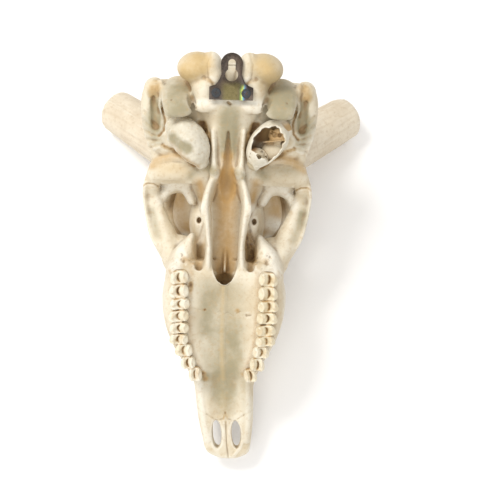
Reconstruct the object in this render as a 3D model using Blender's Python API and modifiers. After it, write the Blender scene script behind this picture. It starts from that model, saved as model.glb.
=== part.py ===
"""A kudu bull's skull without its lower jaw, lying on its sawn horn cores and nasal tips, palate up.

The skull is modelled in its own frame, in millimetres: X to the animal's right, Y towards
the back of the head, Z up through the palate, zero where the palate ends at the choanae.
Bone forms are bars and blobs fused by a voxel remesh, hollowed, thinned to few triangles
and parted along the sutures. The rest pose then tips the whole onto the floor.
"""

import math

import bmesh
import bpy
from mathutils import Euler, Matrix, Vector

# Overall scheme, in millimetres and degrees
MM = 0.001
GAP = 0.3
CLAY_VOXEL = 1.7
BODY_TRIANGLES = 5600
SIDES = {"left": -1, "right": 1}
REST_PITCH = 29.64
REST_LIFT = 104.5
REST_SHIFT = -44.7
FEET = ("horn_core_left", "horn_core_right", "nasals")

# The face in front of the cheek teeth leans to the animal's right
LEAN_SLOPE = 0.082
LEAN_FROM = -70.0
LEAN_BLEND = 8.0

# Braincase: y, centre z, half width, half height
BRAINCASE = [
    (70, -70, 30, 38),
    (92, -68, 41, 44),
    (118, -64, 45, 46),
    (142, -58, 50, 43),
    (158, -53, 52, 36),
    (168, -50, 48, 28),
]
# Frontal roof with the upper rims of the orbits: y, centre z, half width, half height
FRONTAL = [
    (-14, -92, 22, 6),
    (8, -99, 40, 8),
    (28, -106, 58, 8),
    (47, -110, 65, 8),
    (66, -112, 61, 9),
    (86, -114, 52, 13),
    (108, -112, 46, 15),
    (128, -104, 42, 13),
]
# Body of the sphenoid and ethmoid between the orbits: y, centre z, half width, half height
MIDBODY = [
    (6, -60, 38, 36),
    (24, -66, 29, 38),
    (45, -69, 24, 39),
    (66, -69, 25, 40),
    (88, -68, 34, 42),
]
# Inner walls of the orbits, sloping down from the sphenoid
ORBIT_WALL = [
    (22, -98, 38, 20),
    (40, -100, 52, 26),
    (60, -101, 53, 28),
    (78, -98, 47, 26),
]
# Upper rim of the foramen magnum, seen through the hanger's keyhole
NUCHAL_RIM = [
    (174, -66, 20, 17),
    (187, -64, 17, 15),
    (193, -63, 11, 9),
]
# Upper jaw, front to back: y, then z of the palate, half width and z of the gum's inner
# edge, half width of its outer edge, half width and z of the cheek, of the side wall, of
# the nasal edge, and z of the top
UPPER_JAW = [
    (-166, -1, 3, 0, 6, 7, -3, 6, -5, 3, -7, -7.5),
    (-160, -2, 9, 0, 17, 19.5, -4, 17, -8, 8, -10, -10.5),
    (-146, -3, 14, 0, 20, 22.8, -5, 20, -12, 10, -17, -18),
    (-128, -3.5, 15, 0, 22, 25.3, -6, 23, -18, 13, -28, -30),
    (-110, -3.5, 15, 0, 23, 26.5, -8, 24, -26, 15, -46, -52),
    (-96, -3, 15, 0, 24, 27.5, -9, 26, -34, 16, -58, -66),
    (-80, 0, 18, 4, 31, 34.5, -12, 31, -42, 18, -65, -73),
    (-60, 0, 25, 4.5, 42, 45.5, -16, 35, -47, 20, -71, -80),
    (-40, 0, 28.5, 4.5, 49, 53, -20, 40, -51, 22, -77, -86),
    (-20, 0, 29.5, 4.5, 51, 56, -22, 43, -55, 25, -83, -92),
    (0, -1, 29.5, 3, 50, 54, -24, 47, -58, 29, -88, -97),
    (9, -2, 29, 1, 49, 54, -27, 49, -59, 32, -89, -98),
    (16, -14, 27, -6, 46, 53, -30, 50, -60, 34, -90, -99),
]

# Bars of one side: route points as x, y, z, half breadth, half thickness
ARCH = [
    (43, 4, -32, 9, 14),
    (51, 19, -38, 10, 14),
    (58.5, 35, -44, 12, 11),
    (63, 46, -47, 10.7, 10),
    (66, 55, -49, 9.4, 9),
    (70.3, 69.5, -50, 7.8, 8),
    (71, 80, -48, 7.7, 8),
    (67, 92, -42, 8, 7),
]
ORBIT_RIM = [
    (68, 48, -57, 5),
    (69, 67, -63, 6),
    (66, 78, -82, 7.5),
    (62, 70, -103, 7),
    (62, 48, -111, 5),
    (56, 26, -106, 6),
    (53, 17, -84, 8),
    (59, 26, -63, 7),
]
LAMINA = [
    (17, -8, -9, 9, 8.5),
    (16.6, 2, -9, 7.5, 8.5),
    (15.4, 12, -11, 4.6, 11),
    (14.8, 22, -13, 3.5, 14),
    (14.8, 34, -15, 3.2, 16),
    (16.8, 54, -13, 4.2, 17),
    (18.8, 67, -13, 4.8, 18),
    (15.8, 79, -20, 4.8, 15),
    (12.5, 88, -28, 4, 11),
]
TUBER = [
    (40, -6, -20, 13, 18),
    (39, 12, -24, 13, 18),
    (35, 25, -29, 9, 17),
    (31, 36, -32, 3.5, 14),
]
GLENOID = [
    (26, 93, -40, 9.5, 9),
    (40, 93.5, -39, 9.5, 8),
    (55, 93, -40, 9.5, 8),
    (67, 92, -42, 9, 8),
]
GLENOID_SWELL = [
    (34, 95, -36, 9, 6),
    (46, 96, -34.5, 9.5, 6.5),
    (58, 95, -35.5, 9, 6),
    (68, 93, -39, 7, 5),
]
POSTGLENOID_RIDGE = [
    (32, 106, -38, 4, 6),
    (44, 108.5, -35, 4, 6),
    (57, 107, -37, 4, 6),
    (69, 100, -41, 4, 5),
]
MASTOID_RIDGE = [
    (60, 98, -44, 9, 8),
    (64, 114, -44, 9, 9),
    (69, 132, -40, 9.5, 10),
    (72, 150, -40, 9, 12),
    (71, 164, -41, 9.5, 13),
    (65, 168, -50, 10, 11),
    (48, 170, -64, 9, 11),
    (24, 178, -80, 8, 10),
    (0, 182, -86, 8, 9),
]
PARACONDYLAR = [
    (46, 172, -42, 15, 11),
    (47, 167, -24, 15, 8.5),
    (46, 160, -10, 14.5, 5.6),
    (44.8, 149.5, -2, 12.8, 4),
]
CONDYLE_NECK = [
    (27, 190, -26, 17, 14),
    (22, 176, -15, 13, 13),
    (21, 164, -14, 12.5, 11.5),
]
BASE_RIDGE = [
    (10, 90, -24, 3, 6),
    (11.8, 99, -19, 3.6, 7),
    (12.6, 112, -18.5, 3, 5),
    (13, 125, -16.5, 3, 5),
    (13.8, 136, -14.5, 2.8, 5),
]
FLARE_EDGE = [
    (7, 157.5, -9, 4.6, 4.6),
    (16, 156.5, -7, 5.4, 5),
    (25, 156, -7, 5.4, 4.6),
    (33, 158.5, -11, 4, 4),
]
ORBIT_ROOF_ARCH = [
    (61.5, 66, -60, 7, 3.6),
    (58, 74, -61, 8, 4.6),
    (48.5, 79.5, -62, 8, 5.6),
    (39, 77, -62, 8, 4.6),
    (33.5, 66, -62, 7, 3.6),
]
# Base of the skull on the midline: y, centre z, half width, half height
SKULL_BASE = [
    (70, -52, 15, 18),
    (86, -44, 13.5, 20),
    (98, -38, 13.5, 20),
    (111, -36, 15, 20.5),
    (124, -34, 16.2, 21),
    (135, -31, 20, 21.5),
    (146, -29, 26, 22.5),
    (160, -27, 30, 24.5),
    (174, -28, 27, 20),
]
# Blobs of one side: centre, radii, turn in degrees
BLOBS = {
    "condyle": ((30, 190.5, -14), (17.5, 14, 16), (0, 0, -6)),
    "condyle_facet": ((17, 191.5, -11), (10.5, 13.5, 12), (0, 0, 0)),
    "condyle_lip": ((14, 183, -9), (9, 13, 9), (0, 0, 0)),
    "base_tubercle": ((11.5, 97, -17), (5, 7.5, 5.5), (0, 0, 0)),
    "mastoid_knob": ((69, 170, -40), (10, 11, 13), (0, 0, 0)),
    "temporal_wall": ((46, 108, -58), (18, 26, 26), (0, 0, 0)),
    "orbit_back": ((47, 85, -67), (20, 10.5, 18), (0, 0, 0)),
    "orbit_side": ((26, 45, -73), (10, 25, 22), (0, 0, 0)),
    "ear_region": ((56, 132, -44), (17, 26, 20), (0, 0, 0)),
    "horn_base": ((40, 104, -112), (22, 24, 22), (0, 0, 0)),
    "occiput": ((24, 171, -54), (37, 13, 34), (0, 0, 0)),
    "mastoid_web": ((56, 161, -46), (18, 13, 19), (0, 0, 0)),
    "foramen_rim": ((12, 186, -46), (18, 9, 16), (0, 0, 0)),
    "orbit_floor": ((43, 16, -44), (17, 20, 18), (0, 0, 0)),
    "facial_tuber": ((50, -19, -22), (7, 22, 10), (0, 0, 0)),
}

# Hollows: y, centre z, half width, half height
NASAL_CAVITY = [
    (-172, -21, 10, 11),
    (-150, -26, 15, 18),
    (-125, -34, 18, 26),
    (-100, -36, 18, 25),
    (-75, -37, 16, 22),
    (-60, -38, 10, 14),
]
CHOANA = [
    (-26, -18, 6, 8),
    (-9, -17, 8, 10.5),
    (-1, -11, 9, 10.5),
    (3, -9, 9.8, 12),
    (7, -8, 10.6, 14.5),
    (13, -9, 11.4, 17),
    (40, -12, 11.6, 18),
    (66, -12, 12, 18),
    (84, -6, 9.5, 12),
]
# Fissures and foramina: centre and radii
FISSURE = ((9, -143, 0), (4.4, 13.4, 30))
SUPRAORBITAL = ((27, 41, -112), (2.2, 2.2, 24))
PALATINE_HOLE = ((14.5, -27, 0), (1.8, 2.6, 6))
MAGNUM = [
    (214, -34, 15, 15),
    (190, -38, 14.5, 14.5),
    (165, -46, 20, 20),
    (140, -54, 26, 26),
    (122, -58, 12, 14),
]
BASE_GROOVE = [
    (0, 134, -9, 1.0, 4),
    (0, 118, -14, 3.0, 5),
    (0, 104, -16, 4.5, 6),
    (0, 94, -18, 6.0, 7),
    (0, 84, -24, 6.5, 7),
]
CONDYLAR_FOSSA = [
    (42, 177, -3, 3, 8),
    (36, 167, -4, 3.6, 9),
    (31.5, 156, -8, 3.4, 8),
]
MASTOID_HOLLOW = [
    (69, 162, -26, 3, 6),
    (67.5, 148, -25, 4.5, 6),
    (67, 137, -28, 4, 5),
]
VOMER = [
    (0, 4, -26, 1.8, 14),
    (0, 20, -33, 1.8, 12),
    (0, 55, -37, 1.8, 11),
    (0, 82, -38, 2.0, 9),
]

# Sawn horn cores
CORE_ROOT = (36, 101, -112)
CORE_END = (121, 146, -183)
CORE_ROOT_RADIUS = 26
CORE_END_RADIUS = 21.5

# Ear capsules: route of the left one, and the shell of the right one, which is broken open
BULLA = [
    (48.5, 138.5, -18, 7.5, 10),
    (42.5, 133, -15, 13, 15),
    (34.5, 124.5, -14, 15.5, 17),
    (27.5, 114, -14, 12.5, 14),
    (23.5, 106, -16, 6, 8),
]
BULLA_WALL = 2.2
BREAK_CENTRE = (37, 122, 8)
BREAK_RADII = (25, 27, 15)
CELL_PLATES = [(26, 111, 35), (29, 118, -40), (34, 112, 80)]
CELL_THICKNESS = 1.2

# Cheek teeth: y, half width centre x, length, width, lobes, crown height above the gum
TEETH = [
    (-83.5, 24.8, 12.5, 11.5, 1, 8.5),
    (-73.0, 31.0, 12.0, 13.5, 1, 9.5),
    (-61.5, 35.0, 11.5, 15.5, 1, 10.0),
    (-46.0, 38.8, 20.0, 17.5, 2, 10.5),
    (-24.5, 39.4, 21.5, 18.5, 2, 11.0),
    (-1.5, 39.6, 25.5, 17.0, 2, 8.5),
]
CROWN_SIDES = 8
CROWN_ROOT = 12.0
CROWN_HOLLOW = 2.6
GUM_Z = 4.0

# Hanger plate and its two screws, on the base of the skull between the condyles
PLATE_Z = 0.8
PLATE_THICKNESS = 1.6
FOOT_HALF = 19.3
FOOT_BACK = 173.7
FOOT_FRONT = 162.6
NECK_HALF = 9.0
NECK_Y = 184.5
PLATE_X = 1.6
EYE_RADIUS = 9.7
EYE_Y = 194.0
KEYHOLE_Y = 184.5
KEYHOLE_RADIUS = 5.6
SLOT_HALF = 3.2
SCREW_X = 13.2
SCREW_Y = 168.6
SCREW_HEAD_RADIUS = 4.2
SCREW_SHANK_RADIUS = 1.9
SCREW_LENGTH = 16.0

COLOURS = {
    "bone": ((0.74, 0.62, 0.44), 0.62, 0.0),
    "horn": ((0.70, 0.56, 0.38), 0.7, 0.0),
    "ear": ((0.72, 0.66, 0.54), 0.55, 0.0),
    "plate": ((0.20, 0.17, 0.07), 0.35, 1.0),
    "screw": ((0.03, 0.03, 0.035), 0.4, 0.8),
}


def smooth_route(route, steps=5, closed=False):
    """Rows read along a Catmull-Rom curve through the given rows of numbers."""
    count = len(route)
    last = count if closed else count - 1
    rows = []
    for i in range(last):
        if closed:
            four = [route[(i + k - 1) % count] for k in range(4)]
        else:
            four = [route[min(max(i + k - 1, 0), count - 1)] for k in range(4)]
        for step in range(steps):
            t = step / steps
            row = []
            for a, b, c, d in zip(*four):
                value = 2 * b + (c - a) * t + (2 * a - 5 * b + 4 * c - d) * t * t
                value += (3 * b - a - 3 * c + d) * t ** 3
                row.append(value / 2)
            rows.append(row)
    if not closed:
        rows.append(list(route[-1]))
    return rows


def skin_rings(bm, rings, closed=False):
    """Faces between equal rings of points in millimetres, with a cap on each open end."""
    made = [[bm.verts.new(Vector(p) * MM) for p in ring] for ring in rings]
    count = len(made[0])
    pairs = list(zip(made, made[1:]))
    if closed:
        pairs.append((made[-1], made[0]))
    for low, high in pairs:
        for k in range(count):
            n = (k + 1) % count
            bm.faces.new((low[k], low[n], high[n]))
            bm.faces.new((low[k], high[n], high[k]))
    if not closed:
        bm.faces.new(reversed(made[0]))
        bm.faces.new(made[-1])


def bar(bm, route, broad=(1, 0, 0), sides=14, steps=5, closed=False, grow=0.0, dome=True):
    """A bar with elliptical sections: rows hold x, y, z, half breadth and half thickness."""
    rows = smooth_route(route, steps, closed)
    places = [Vector(row[:3]) for row in rows]
    rings = []
    for i, row in enumerate(rows):
        if closed:
            ahead, behind = places[(i + 1) % len(rows)], places[i - 1]
        else:
            ahead, behind = places[min(i + 1, len(rows) - 1)], places[max(i - 1, 0)]
        along = (ahead - behind).normalized()
        wide = Vector(broad) - along * along.dot(Vector(broad))
        wide.normalize()
        thick = along.cross(wide)
        rings.append((places[i], along, wide * (row[3] + grow), thick * (row[4] + grow)))
    spun = []
    if not closed and dome:
        spun += dome_rings(rings[0], -1)
    spun += rings
    if not closed and dome:
        spun += dome_rings(rings[-1], 1)
    points = []
    for place, _, wide, thick in spun:
        ring = []
        for k in range(sides):
            angle = math.tau * k / sides
            ring.append(place + wide * math.cos(angle) + thick * math.sin(angle))
        points.append(ring)
    skin_rings(bm, points, closed)


def dome_rings(ring, way):
    """Shrinking rings that round off the end of a bar."""
    place, along, wide, thick = ring
    reach = min(wide.length, thick.length)
    angles = (0.35, 0.7, 1.05, 1.35)
    rings = []
    for angle in angles:
        shift = along * (way * reach * math.sin(angle))
        scale = math.cos(angle)
        rings.append((place + shift, along, wide * scale, thick * scale))
    return rings if way > 0 else rings[::-1]


def midline_bar(bm, rows, **options):
    """A bar on the midline from rows of y, centre z, half width and half height."""
    bar(bm, [(0, y, z, wide, high) for y, z, wide, high in rows], **options)


def flipped(route, side):
    return [(row[0] * side, *row[1:]) for row in route]


def blob(bm, centre, radii, turn=(0, 0, 0), segments=20):
    """An ellipsoid."""
    size = [radius * MM for radius in radii]
    matrix = (
        Matrix.Translation(Vector(centre) * MM)
        @ Euler([math.radians(angle) for angle in turn]).to_matrix().to_4x4()
        @ Matrix.Diagonal((*size, 1))
    )
    rows = segments * 3 // 5
    bmesh.ops.create_uvsphere(bm, u_segments=segments, v_segments=rows, radius=1, matrix=matrix)


def jaw_ring(row):
    """The outline of the upper jaw across the skull, from one row of UPPER_JAW."""
    y, palate, inner, gum, outer, cheek, cheek_z, wall, wall_z, nasal, nasal_z, top = row
    half = [
        (inner * 0.55, palate + (gum - palate) * 0.12),
        (inner, gum - 1),
        (outer, gum - 2),
        (cheek, cheek_z),
        (wall, wall_z),
        (nasal, nasal_z),
    ]
    corners = [(0, y, palate)] + [(x, y, z) for x, z in half]
    corners += [(0, y, top)] + [(-x, y, z) for x, z in reversed(half)]
    return smooth_route(corners, steps=3, closed=True)


def bone_clay(bm):
    """Every bony form of the skull except the horn cores and ear capsules."""
    midline_bar(bm, BRAINCASE, sides=28)
    midline_bar(bm, FRONTAL, sides=28)
    midline_bar(bm, MIDBODY, sides=24)
    midline_bar(bm, ORBIT_WALL, sides=28)
    midline_bar(bm, SKULL_BASE, sides=24)
    midline_bar(bm, NUCHAL_RIM)
    bar(bm, VOMER)
    skin_rings(bm, [jaw_ring(row) for row in smooth_route(UPPER_JAW)])
    for side in SIDES.values():
        bar(bm, flipped(ARCH, side))
        rim = [(x * side, y, z, thick, thick) for x, y, z, thick in ORBIT_RIM]
        bar(bm, rim, broad=(0.9 * side, -0.2, -0.3), closed=True)
        bar(bm, flipped(LAMINA, side))
        bar(bm, flipped(TUBER, side))
        for rows in (GLENOID, GLENOID_SWELL, POSTGLENOID_RIDGE, FLARE_EDGE):
            bar(bm, flipped(rows, side), broad=(0, 1, 0))
        bar(bm, flipped(ORBIT_ROOF_ARCH, side), broad=(0, 0, 1))
        bar(bm, flipped(BASE_RIDGE, side))
        bar(bm, flipped(MASTOID_RIDGE, side))
        bar(bm, flipped(PARACONDYLAR, side))
        bar(bm, flipped(CONDYLE_NECK, side))
        for centre, radii, turn in BLOBS.values():
            place = (centre[0] * side, *centre[1:])
            blob(bm, place, radii, (turn[0], turn[1] * side, turn[2] * side))


def hollow_clay(bm):
    """The openings into the skull."""
    midline_bar(bm, NASAL_CAVITY, sides=20)
    midline_bar(bm, CHOANA, sides=16)
    midline_bar(bm, MAGNUM, sides=20)
    bar(bm, BASE_GROOVE)
    for side in SIDES.values():
        for centre, radii in (FISSURE, SUPRAORBITAL, PALATINE_HOLE):
            blob(bm, (centre[0] * side, *centre[1:]), radii)
        bar(bm, flipped(CONDYLAR_FOSSA, side))
        bar(bm, flipped(MASTOID_HOLLOW, side))


def new_object(name, build, collection, *args):
    """An object whose mesh a build function fills, with its faces pointing out."""
    bm = bmesh.new()
    build(bm, *args)
    bmesh.ops.recalc_face_normals(bm, faces=bm.faces)
    mesh = bpy.data.meshes.new(name)
    bm.to_mesh(mesh)
    bm.free()
    obj = bpy.data.objects.new(name, mesh)
    collection.objects.link(obj)
    return obj


def bake(obj):
    """The object's mesh replaced by what its modifiers make of it."""
    bpy.context.view_layer.update()
    evaluated = obj.evaluated_get(bpy.context.evaluated_depsgraph_get())
    mesh = bpy.data.meshes.new_from_object(evaluated)
    obj.modifiers.clear()
    obj.data = mesh


def remesh(obj, voxel):
    modifier = obj.modifiers.new("fuse", "REMESH")
    modifier.mode = "VOXEL"
    modifier.voxel_size = voxel * MM
    bake(obj)


def relax(obj, passes, factor=0.5):
    modifier = obj.modifiers.new("relax", "SMOOTH")
    modifier.iterations = passes
    modifier.factor = factor
    bake(obj)


def combine(obj, other, operation, solver="MANIFOLD"):
    """One Boolean between two objects, baked."""
    modifier = obj.modifiers.new(operation.lower(), "BOOLEAN")
    modifier.operation = operation
    modifier.object = other
    modifier.solver = solver
    bake(obj)


def keep_largest(obj):
    """Only the closed surface with the most volume stays."""
    bm = bmesh.new()
    bm.from_mesh(obj.data)
    unseen = set(bm.verts)
    groups = []
    while unseen:
        start = unseen.pop()
        group = {start}
        front = [start]
        while front:
            for edge in front.pop().link_edges:
                for vert in edge.verts:
                    if vert in unseen:
                        unseen.discard(vert)
                        group.add(vert)
                        front.append(vert)
        groups.append(group)

    def reach(group):
        low = [min(vert.co[k] for vert in group) for k in range(3)]
        high = [max(vert.co[k] for vert in group) for k in range(3)]
        return math.dist(low, high)

    groups.sort(key=reach)
    for group in groups[:-1]:
        bmesh.ops.delete(bm, geom=list(group), context="VERTS")
    bm.to_mesh(obj.data)
    bm.free()


def thin_out(obj, triangles):
    """Fewer triangles, and no needle-thin ones."""
    obj.data.calc_loop_triangles()
    modifier = obj.modifiers.new("thin", "DECIMATE")
    modifier.ratio = min(1.0, triangles / len(obj.data.loop_triangles))
    modifier.use_collapse_triangulate = True
    bake(obj)


def material(name):
    colour, roughness, metallic = COLOURS[name]
    made = bpy.data.materials.get(name) or bpy.data.materials.new(name)
    made.use_nodes = True
    shader = made.node_tree.nodes["Principled BSDF"]
    shader.inputs["Base Color"].default_value = (*colour, 1)
    shader.inputs["Roughness"].default_value = roughness
    shader.inputs["Metallic"].default_value = metallic
    return made


def copy_of(obj, name, collection):
    twin = bpy.data.objects.new(name, obj.data.copy())
    collection.objects.link(twin)
    return twin


def box_region(bm, low, high):
    """A box from its two corners."""
    centre = [(a + b) / 2 for a, b in zip(low, high)]
    size = [(b - a) * MM for a, b in zip(low, high)]
    matrix = Matrix.Translation(Vector(centre) * MM) @ Matrix.Diagonal((*size, 1))
    bmesh.ops.create_cube(bm, size=1, matrix=matrix)


# Where the bones are parted: a slanting cut through the orbits parts face from cranium
FACE_CUT_AT_PALATE = 39.0
FACE_CUT_AT_ROOF = 2.0
ROOF_Z = -120.0
PREMAXILLA_CUT_AT_PALATE = -124.0
PREMAXILLA_CUT_AT_TOP = -108.0
NASAL_REGION = [
    (0, -124, -58, 17, 12),
    (0, -104, -66, 17.5, 12),
    (0, -60, -80, 18.5, 9),
    (0, -20, -92, 17, 8),
    (0, 4, -99, 10, 8),
]
ARCH_REGION = [(46.0, 26.0, -60.0), (95.0, 87.0, 0.0)]


def slab(bm, cut_low, cut_high, way, gap):
    """Everything on one side of a slanting cut: way -1 in front of it, 1 behind it."""
    far = 400 * way
    low_z, high_z = 60, -260
    slope = (cut_high - cut_low) / ROOF_Z
    near_top = cut_low + slope * low_z + gap * way
    near_end = cut_low + slope * high_z + gap * way
    corners = []
    for x in (-200, 200):
        ring = [(x, near_top, low_z), (x, far, low_z), (x, far, high_z), (x, near_end, high_z)]
        corners.append(ring)
    skin_rings(bm, corners)


def arch_region(bm, side, grow):
    low, high = ARCH_REGION
    corners_x = sorted((low[0] * side - grow * side, high[0] * side))
    box_region(
        bm,
        (corners_x[0], low[1] - grow, low[2] - grow),
        (corners_x[1], high[1] + grow, high[2]),
    )


def bulla_form(bm, side, grow=0.0):
    bar(bm, flipped(BULLA, side), broad=(0.77, 0.64 * side, 0), grow=grow, sides=12, steps=2)


def core_form(bm, side, grow=0.0):
    """A horn core sawn square across, its edge slightly worn."""
    root = Vector((CORE_ROOT[0] * side, *CORE_ROOT[1:]))
    end = Vector((CORE_END[0] * side, *CORE_END[1:]))
    along = (end - root).normalized()
    route = []
    for t in (0, 0.3, 0.6, 0.85, 0.965):
        place = root.lerp(end, t)
        radius = CORE_ROOT_RADIUS + (CORE_END_RADIUS - CORE_ROOT_RADIUS) * t
        route.append((*place, radius, radius * 0.94))
    route.append((*end, CORE_END_RADIUS - 3.5, (CORE_END_RADIUS - 3.5) * 0.94))
    across = along.cross(Vector((0, 0, 1)))
    bar(bm, route, broad=across, sides=18, steps=2, grow=grow, dome=False)


def tooth_lobe(bm, side, tooth, lobe):
    """One lobe of a cheek tooth: a prism that widens to its hollowed top."""
    y, x, length, width, lobes, height = tooth
    step = length / lobes
    lobe_y = y + (lobe - (lobes - 1) / 2) * step
    depth = height + CROWN_ROOT
    centre = Vector((x * side, lobe_y, GUM_Z + (height - CROWN_ROOT) / 2))
    matrix = (
        Matrix.Translation(centre * MM)
        @ Matrix.Diagonal((width / 2 * MM, step / 2 * 1.1 * MM, depth * MM, 1))
        @ Matrix.Rotation(math.pi / CROWN_SIDES, 4, "Z")
    )
    bmesh.ops.create_cone(
        bm, cap_ends=True, segments=CROWN_SIDES, radius1=0.8, radius2=1.06, depth=1, matrix=matrix
    )
    bm.faces.ensure_lookup_table()
    top = max(bm.faces, key=lambda face: face.calc_center_median().z)
    poked = bmesh.ops.poke(bm, faces=[top])
    poked["verts"][0].co.z -= CROWN_HOLLOW * MM


def add_crowns(jaw):
    """The cheek teeth of both sides, joined to the upper jaw in one union."""
    crowns = bpy.data.collections.new("crowns")
    bpy.context.scene.collection.children.link(crowns)
    for side in SIDES.values():
        for tooth in TEETH:
            for lobe in range(tooth[4]):
                new_object("lobe", tooth_lobe, crowns, side, tooth, lobe)
    modifier = jaw.modifiers.new("teeth", "BOOLEAN")
    modifier.operation = "UNION"
    modifier.operand_type = "COLLECTION"
    modifier.collection = crowns
    bake(jaw)
    for lobe in list(crowns.objects):
        bpy.data.objects.remove(lobe)
    bpy.data.collections.remove(crowns)


def hanger_plate(bm, grow=0.0):
    """The flat plate: a foot with flared shoulders, a neck and a round eye with a keyhole."""
    outline = [(-FOOT_HALF, FOOT_FRONT), (FOOT_HALF, FOOT_FRONT), (FOOT_HALF, FOOT_BACK)]
    outline += [(NECK_HALF + 5.3, FOOT_BACK + 2), (NECK_HALF + 1.7, NECK_Y - 4.3)]
    outline += [(NECK_HALF, NECK_Y)]
    for step in range(13):
        angle = math.pi * step / 12
        outline.append((EYE_RADIUS * math.cos(angle), EYE_Y + EYE_RADIUS * math.sin(angle)))
    outline += [(-NECK_HALF, NECK_Y), (-NECK_HALF - 1.7, NECK_Y - 4.3)]
    outline += [(-NECK_HALF - 5.3, FOOT_BACK + 2), (-FOOT_HALF, FOOT_BACK)]
    low, high = PLATE_Z - grow, PLATE_Z + PLATE_THICKNESS + grow
    skin_rings(bm, [[(x + PLATE_X, y, z) for x, y in outline] for z in (low, high)])


def plate_hole(bm):
    outline = []
    for step in range(17):
        angle = math.radians(125) + math.radians(290) * step / 16
        x, y = KEYHOLE_RADIUS * math.cos(angle), KEYHOLE_RADIUS * math.sin(angle)
        outline.append((x, KEYHOLE_Y + y))
    for step in range(7):
        angle = math.pi * step / 6
        outline.append((SLOT_HALF * math.cos(angle), EYE_Y + 1 + SLOT_HALF * math.sin(angle)))
    skin_rings(bm, [[(x + PLATE_X, y, z) for x, y in outline] for z in (-20, 20)])


def screw_form(bm, side, grow=0.0):
    """A countersunk screw: head sunk in the plate, shank in the bone."""
    head = PLATE_Z + PLATE_THICKNESS + 0.9
    levels = [
        (head + grow, SCREW_HEAD_RADIUS - 1.2),
        (head - 0.5 + grow, SCREW_HEAD_RADIUS),
        (head - 1.0, SCREW_HEAD_RADIUS),
        (head - 3.2, SCREW_SHANK_RADIUS),
        (head - SCREW_LENGTH - grow, SCREW_SHANK_RADIUS * 0.6),
    ]
    rings = []
    for z, radius in reversed(levels):
        ring = []
        for k in range(16):
            angle = math.tau * k / 16
            reach = radius + grow
            x, y = reach * math.cos(angle), reach * math.sin(angle)
            ring.append((PLATE_X + SCREW_X * side + x, SCREW_Y + y, z))
        rings.append(ring)
    skin_rings(bm, rings)


def break_open(bulla, cutters, side):
    """The capsule's wall broken away on the palate side, with the cell walls inside it."""
    inside = new_object("bulla_inside", bulla_form, cutters, side, -BULLA_WALL)
    combine(bulla, inside, "DIFFERENCE")
    opening = new_object("bulla_break", break_form, cutters, side)
    combine(bulla, opening, "DIFFERENCE")
    for x, y, turn in CELL_PLATES:
        plate = new_object("cell_plate", cell_plate, cutters, x * side, y, turn)
        inner = new_object("cell_bounds", bulla_form, cutters, side, -BULLA_WALL / 2)
        combine(plate, inner, "INTERSECT")
        combine(plate, opening, "DIFFERENCE")
        combine(bulla, plate, "UNION")


def break_form(bm, side):
    blob(bm, (BREAK_CENTRE[0] * side, *BREAK_CENTRE[1:]), BREAK_RADII, segments=14)


def cell_plate(bm, x, y, turn):
    """One thin upright wall between air cells."""
    matrix = (
        Matrix.Translation(Vector((x, y, -16)) * MM)
        @ Matrix.Rotation(math.radians(turn), 4, "Z")
        @ Matrix.Diagonal((40 * MM, CELL_THICKNESS * MM, 40 * MM, 1))
    )
    bmesh.ops.create_cube(bm, size=1, matrix=matrix)


def build_hanger(parts, cutters, cranium):
    """The plate and its two screws, with room for them in the bone."""
    plate = new_object("hanger_plate", hanger_plate, parts)
    hole = new_object("keyhole", plate_hole, cutters)
    combine(plate, hole, "DIFFERENCE")
    seat = new_object("plate_seat", hanger_plate, cutters, GAP)
    combine(cranium, seat, "DIFFERENCE")
    pieces = {"hanger_plate": plate}
    for word, side in SIDES.items():
        screw = new_object("hanger_screw_" + word, screw_form, parts, side)
        clearance = new_object("screw_room_" + word, screw_form, cutters, side, GAP)
        combine(plate, clearance, "DIFFERENCE")
        combine(cranium, clearance, "DIFFERENCE")
        finish(screw, "screw")
        pieces[screw.name] = screw
    finish(plate, "plate")
    return pieces


def lean_snout(mesh):
    """Moves the points in front of the cheek teeth sideways, more towards the nose."""
    for vertex in mesh.vertices:
        ahead = (LEAN_FROM - vertex.co.y / MM) / LEAN_BLEND
        swing = max(ahead, 0.0) + math.log1p(math.exp(-abs(ahead)))
        vertex.co.x += LEAN_SLOPE * LEAN_BLEND * swing * MM


def lay_down(nodes, cutters):
    """Tips the finished skull over and trims the three feet it lies on level with the floor."""
    pose = Matrix.Translation((0, REST_SHIFT * MM, REST_LIFT * MM))
    pose = pose @ Matrix.Rotation(math.radians(REST_PITCH), 4, "X")
    floor = new_object("floor", box_region, cutters, (-300, -300, -50), (300, 300, 0))
    for name, node in nodes.items():
        lean_snout(node.data)
        node.data.transform(pose)
        if name in FEET:
            combine(node, floor, "DIFFERENCE")


def finish(obj, colour):
    """Smooth shading with sharp edges where the form turns, and the piece's material."""
    obj.data.materials.clear()
    obj.data.materials.append(material(colour))
    obj.data.shade_smooth()
    obj.data.set_sharp_from_angle(angle=math.radians(50))


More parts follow.
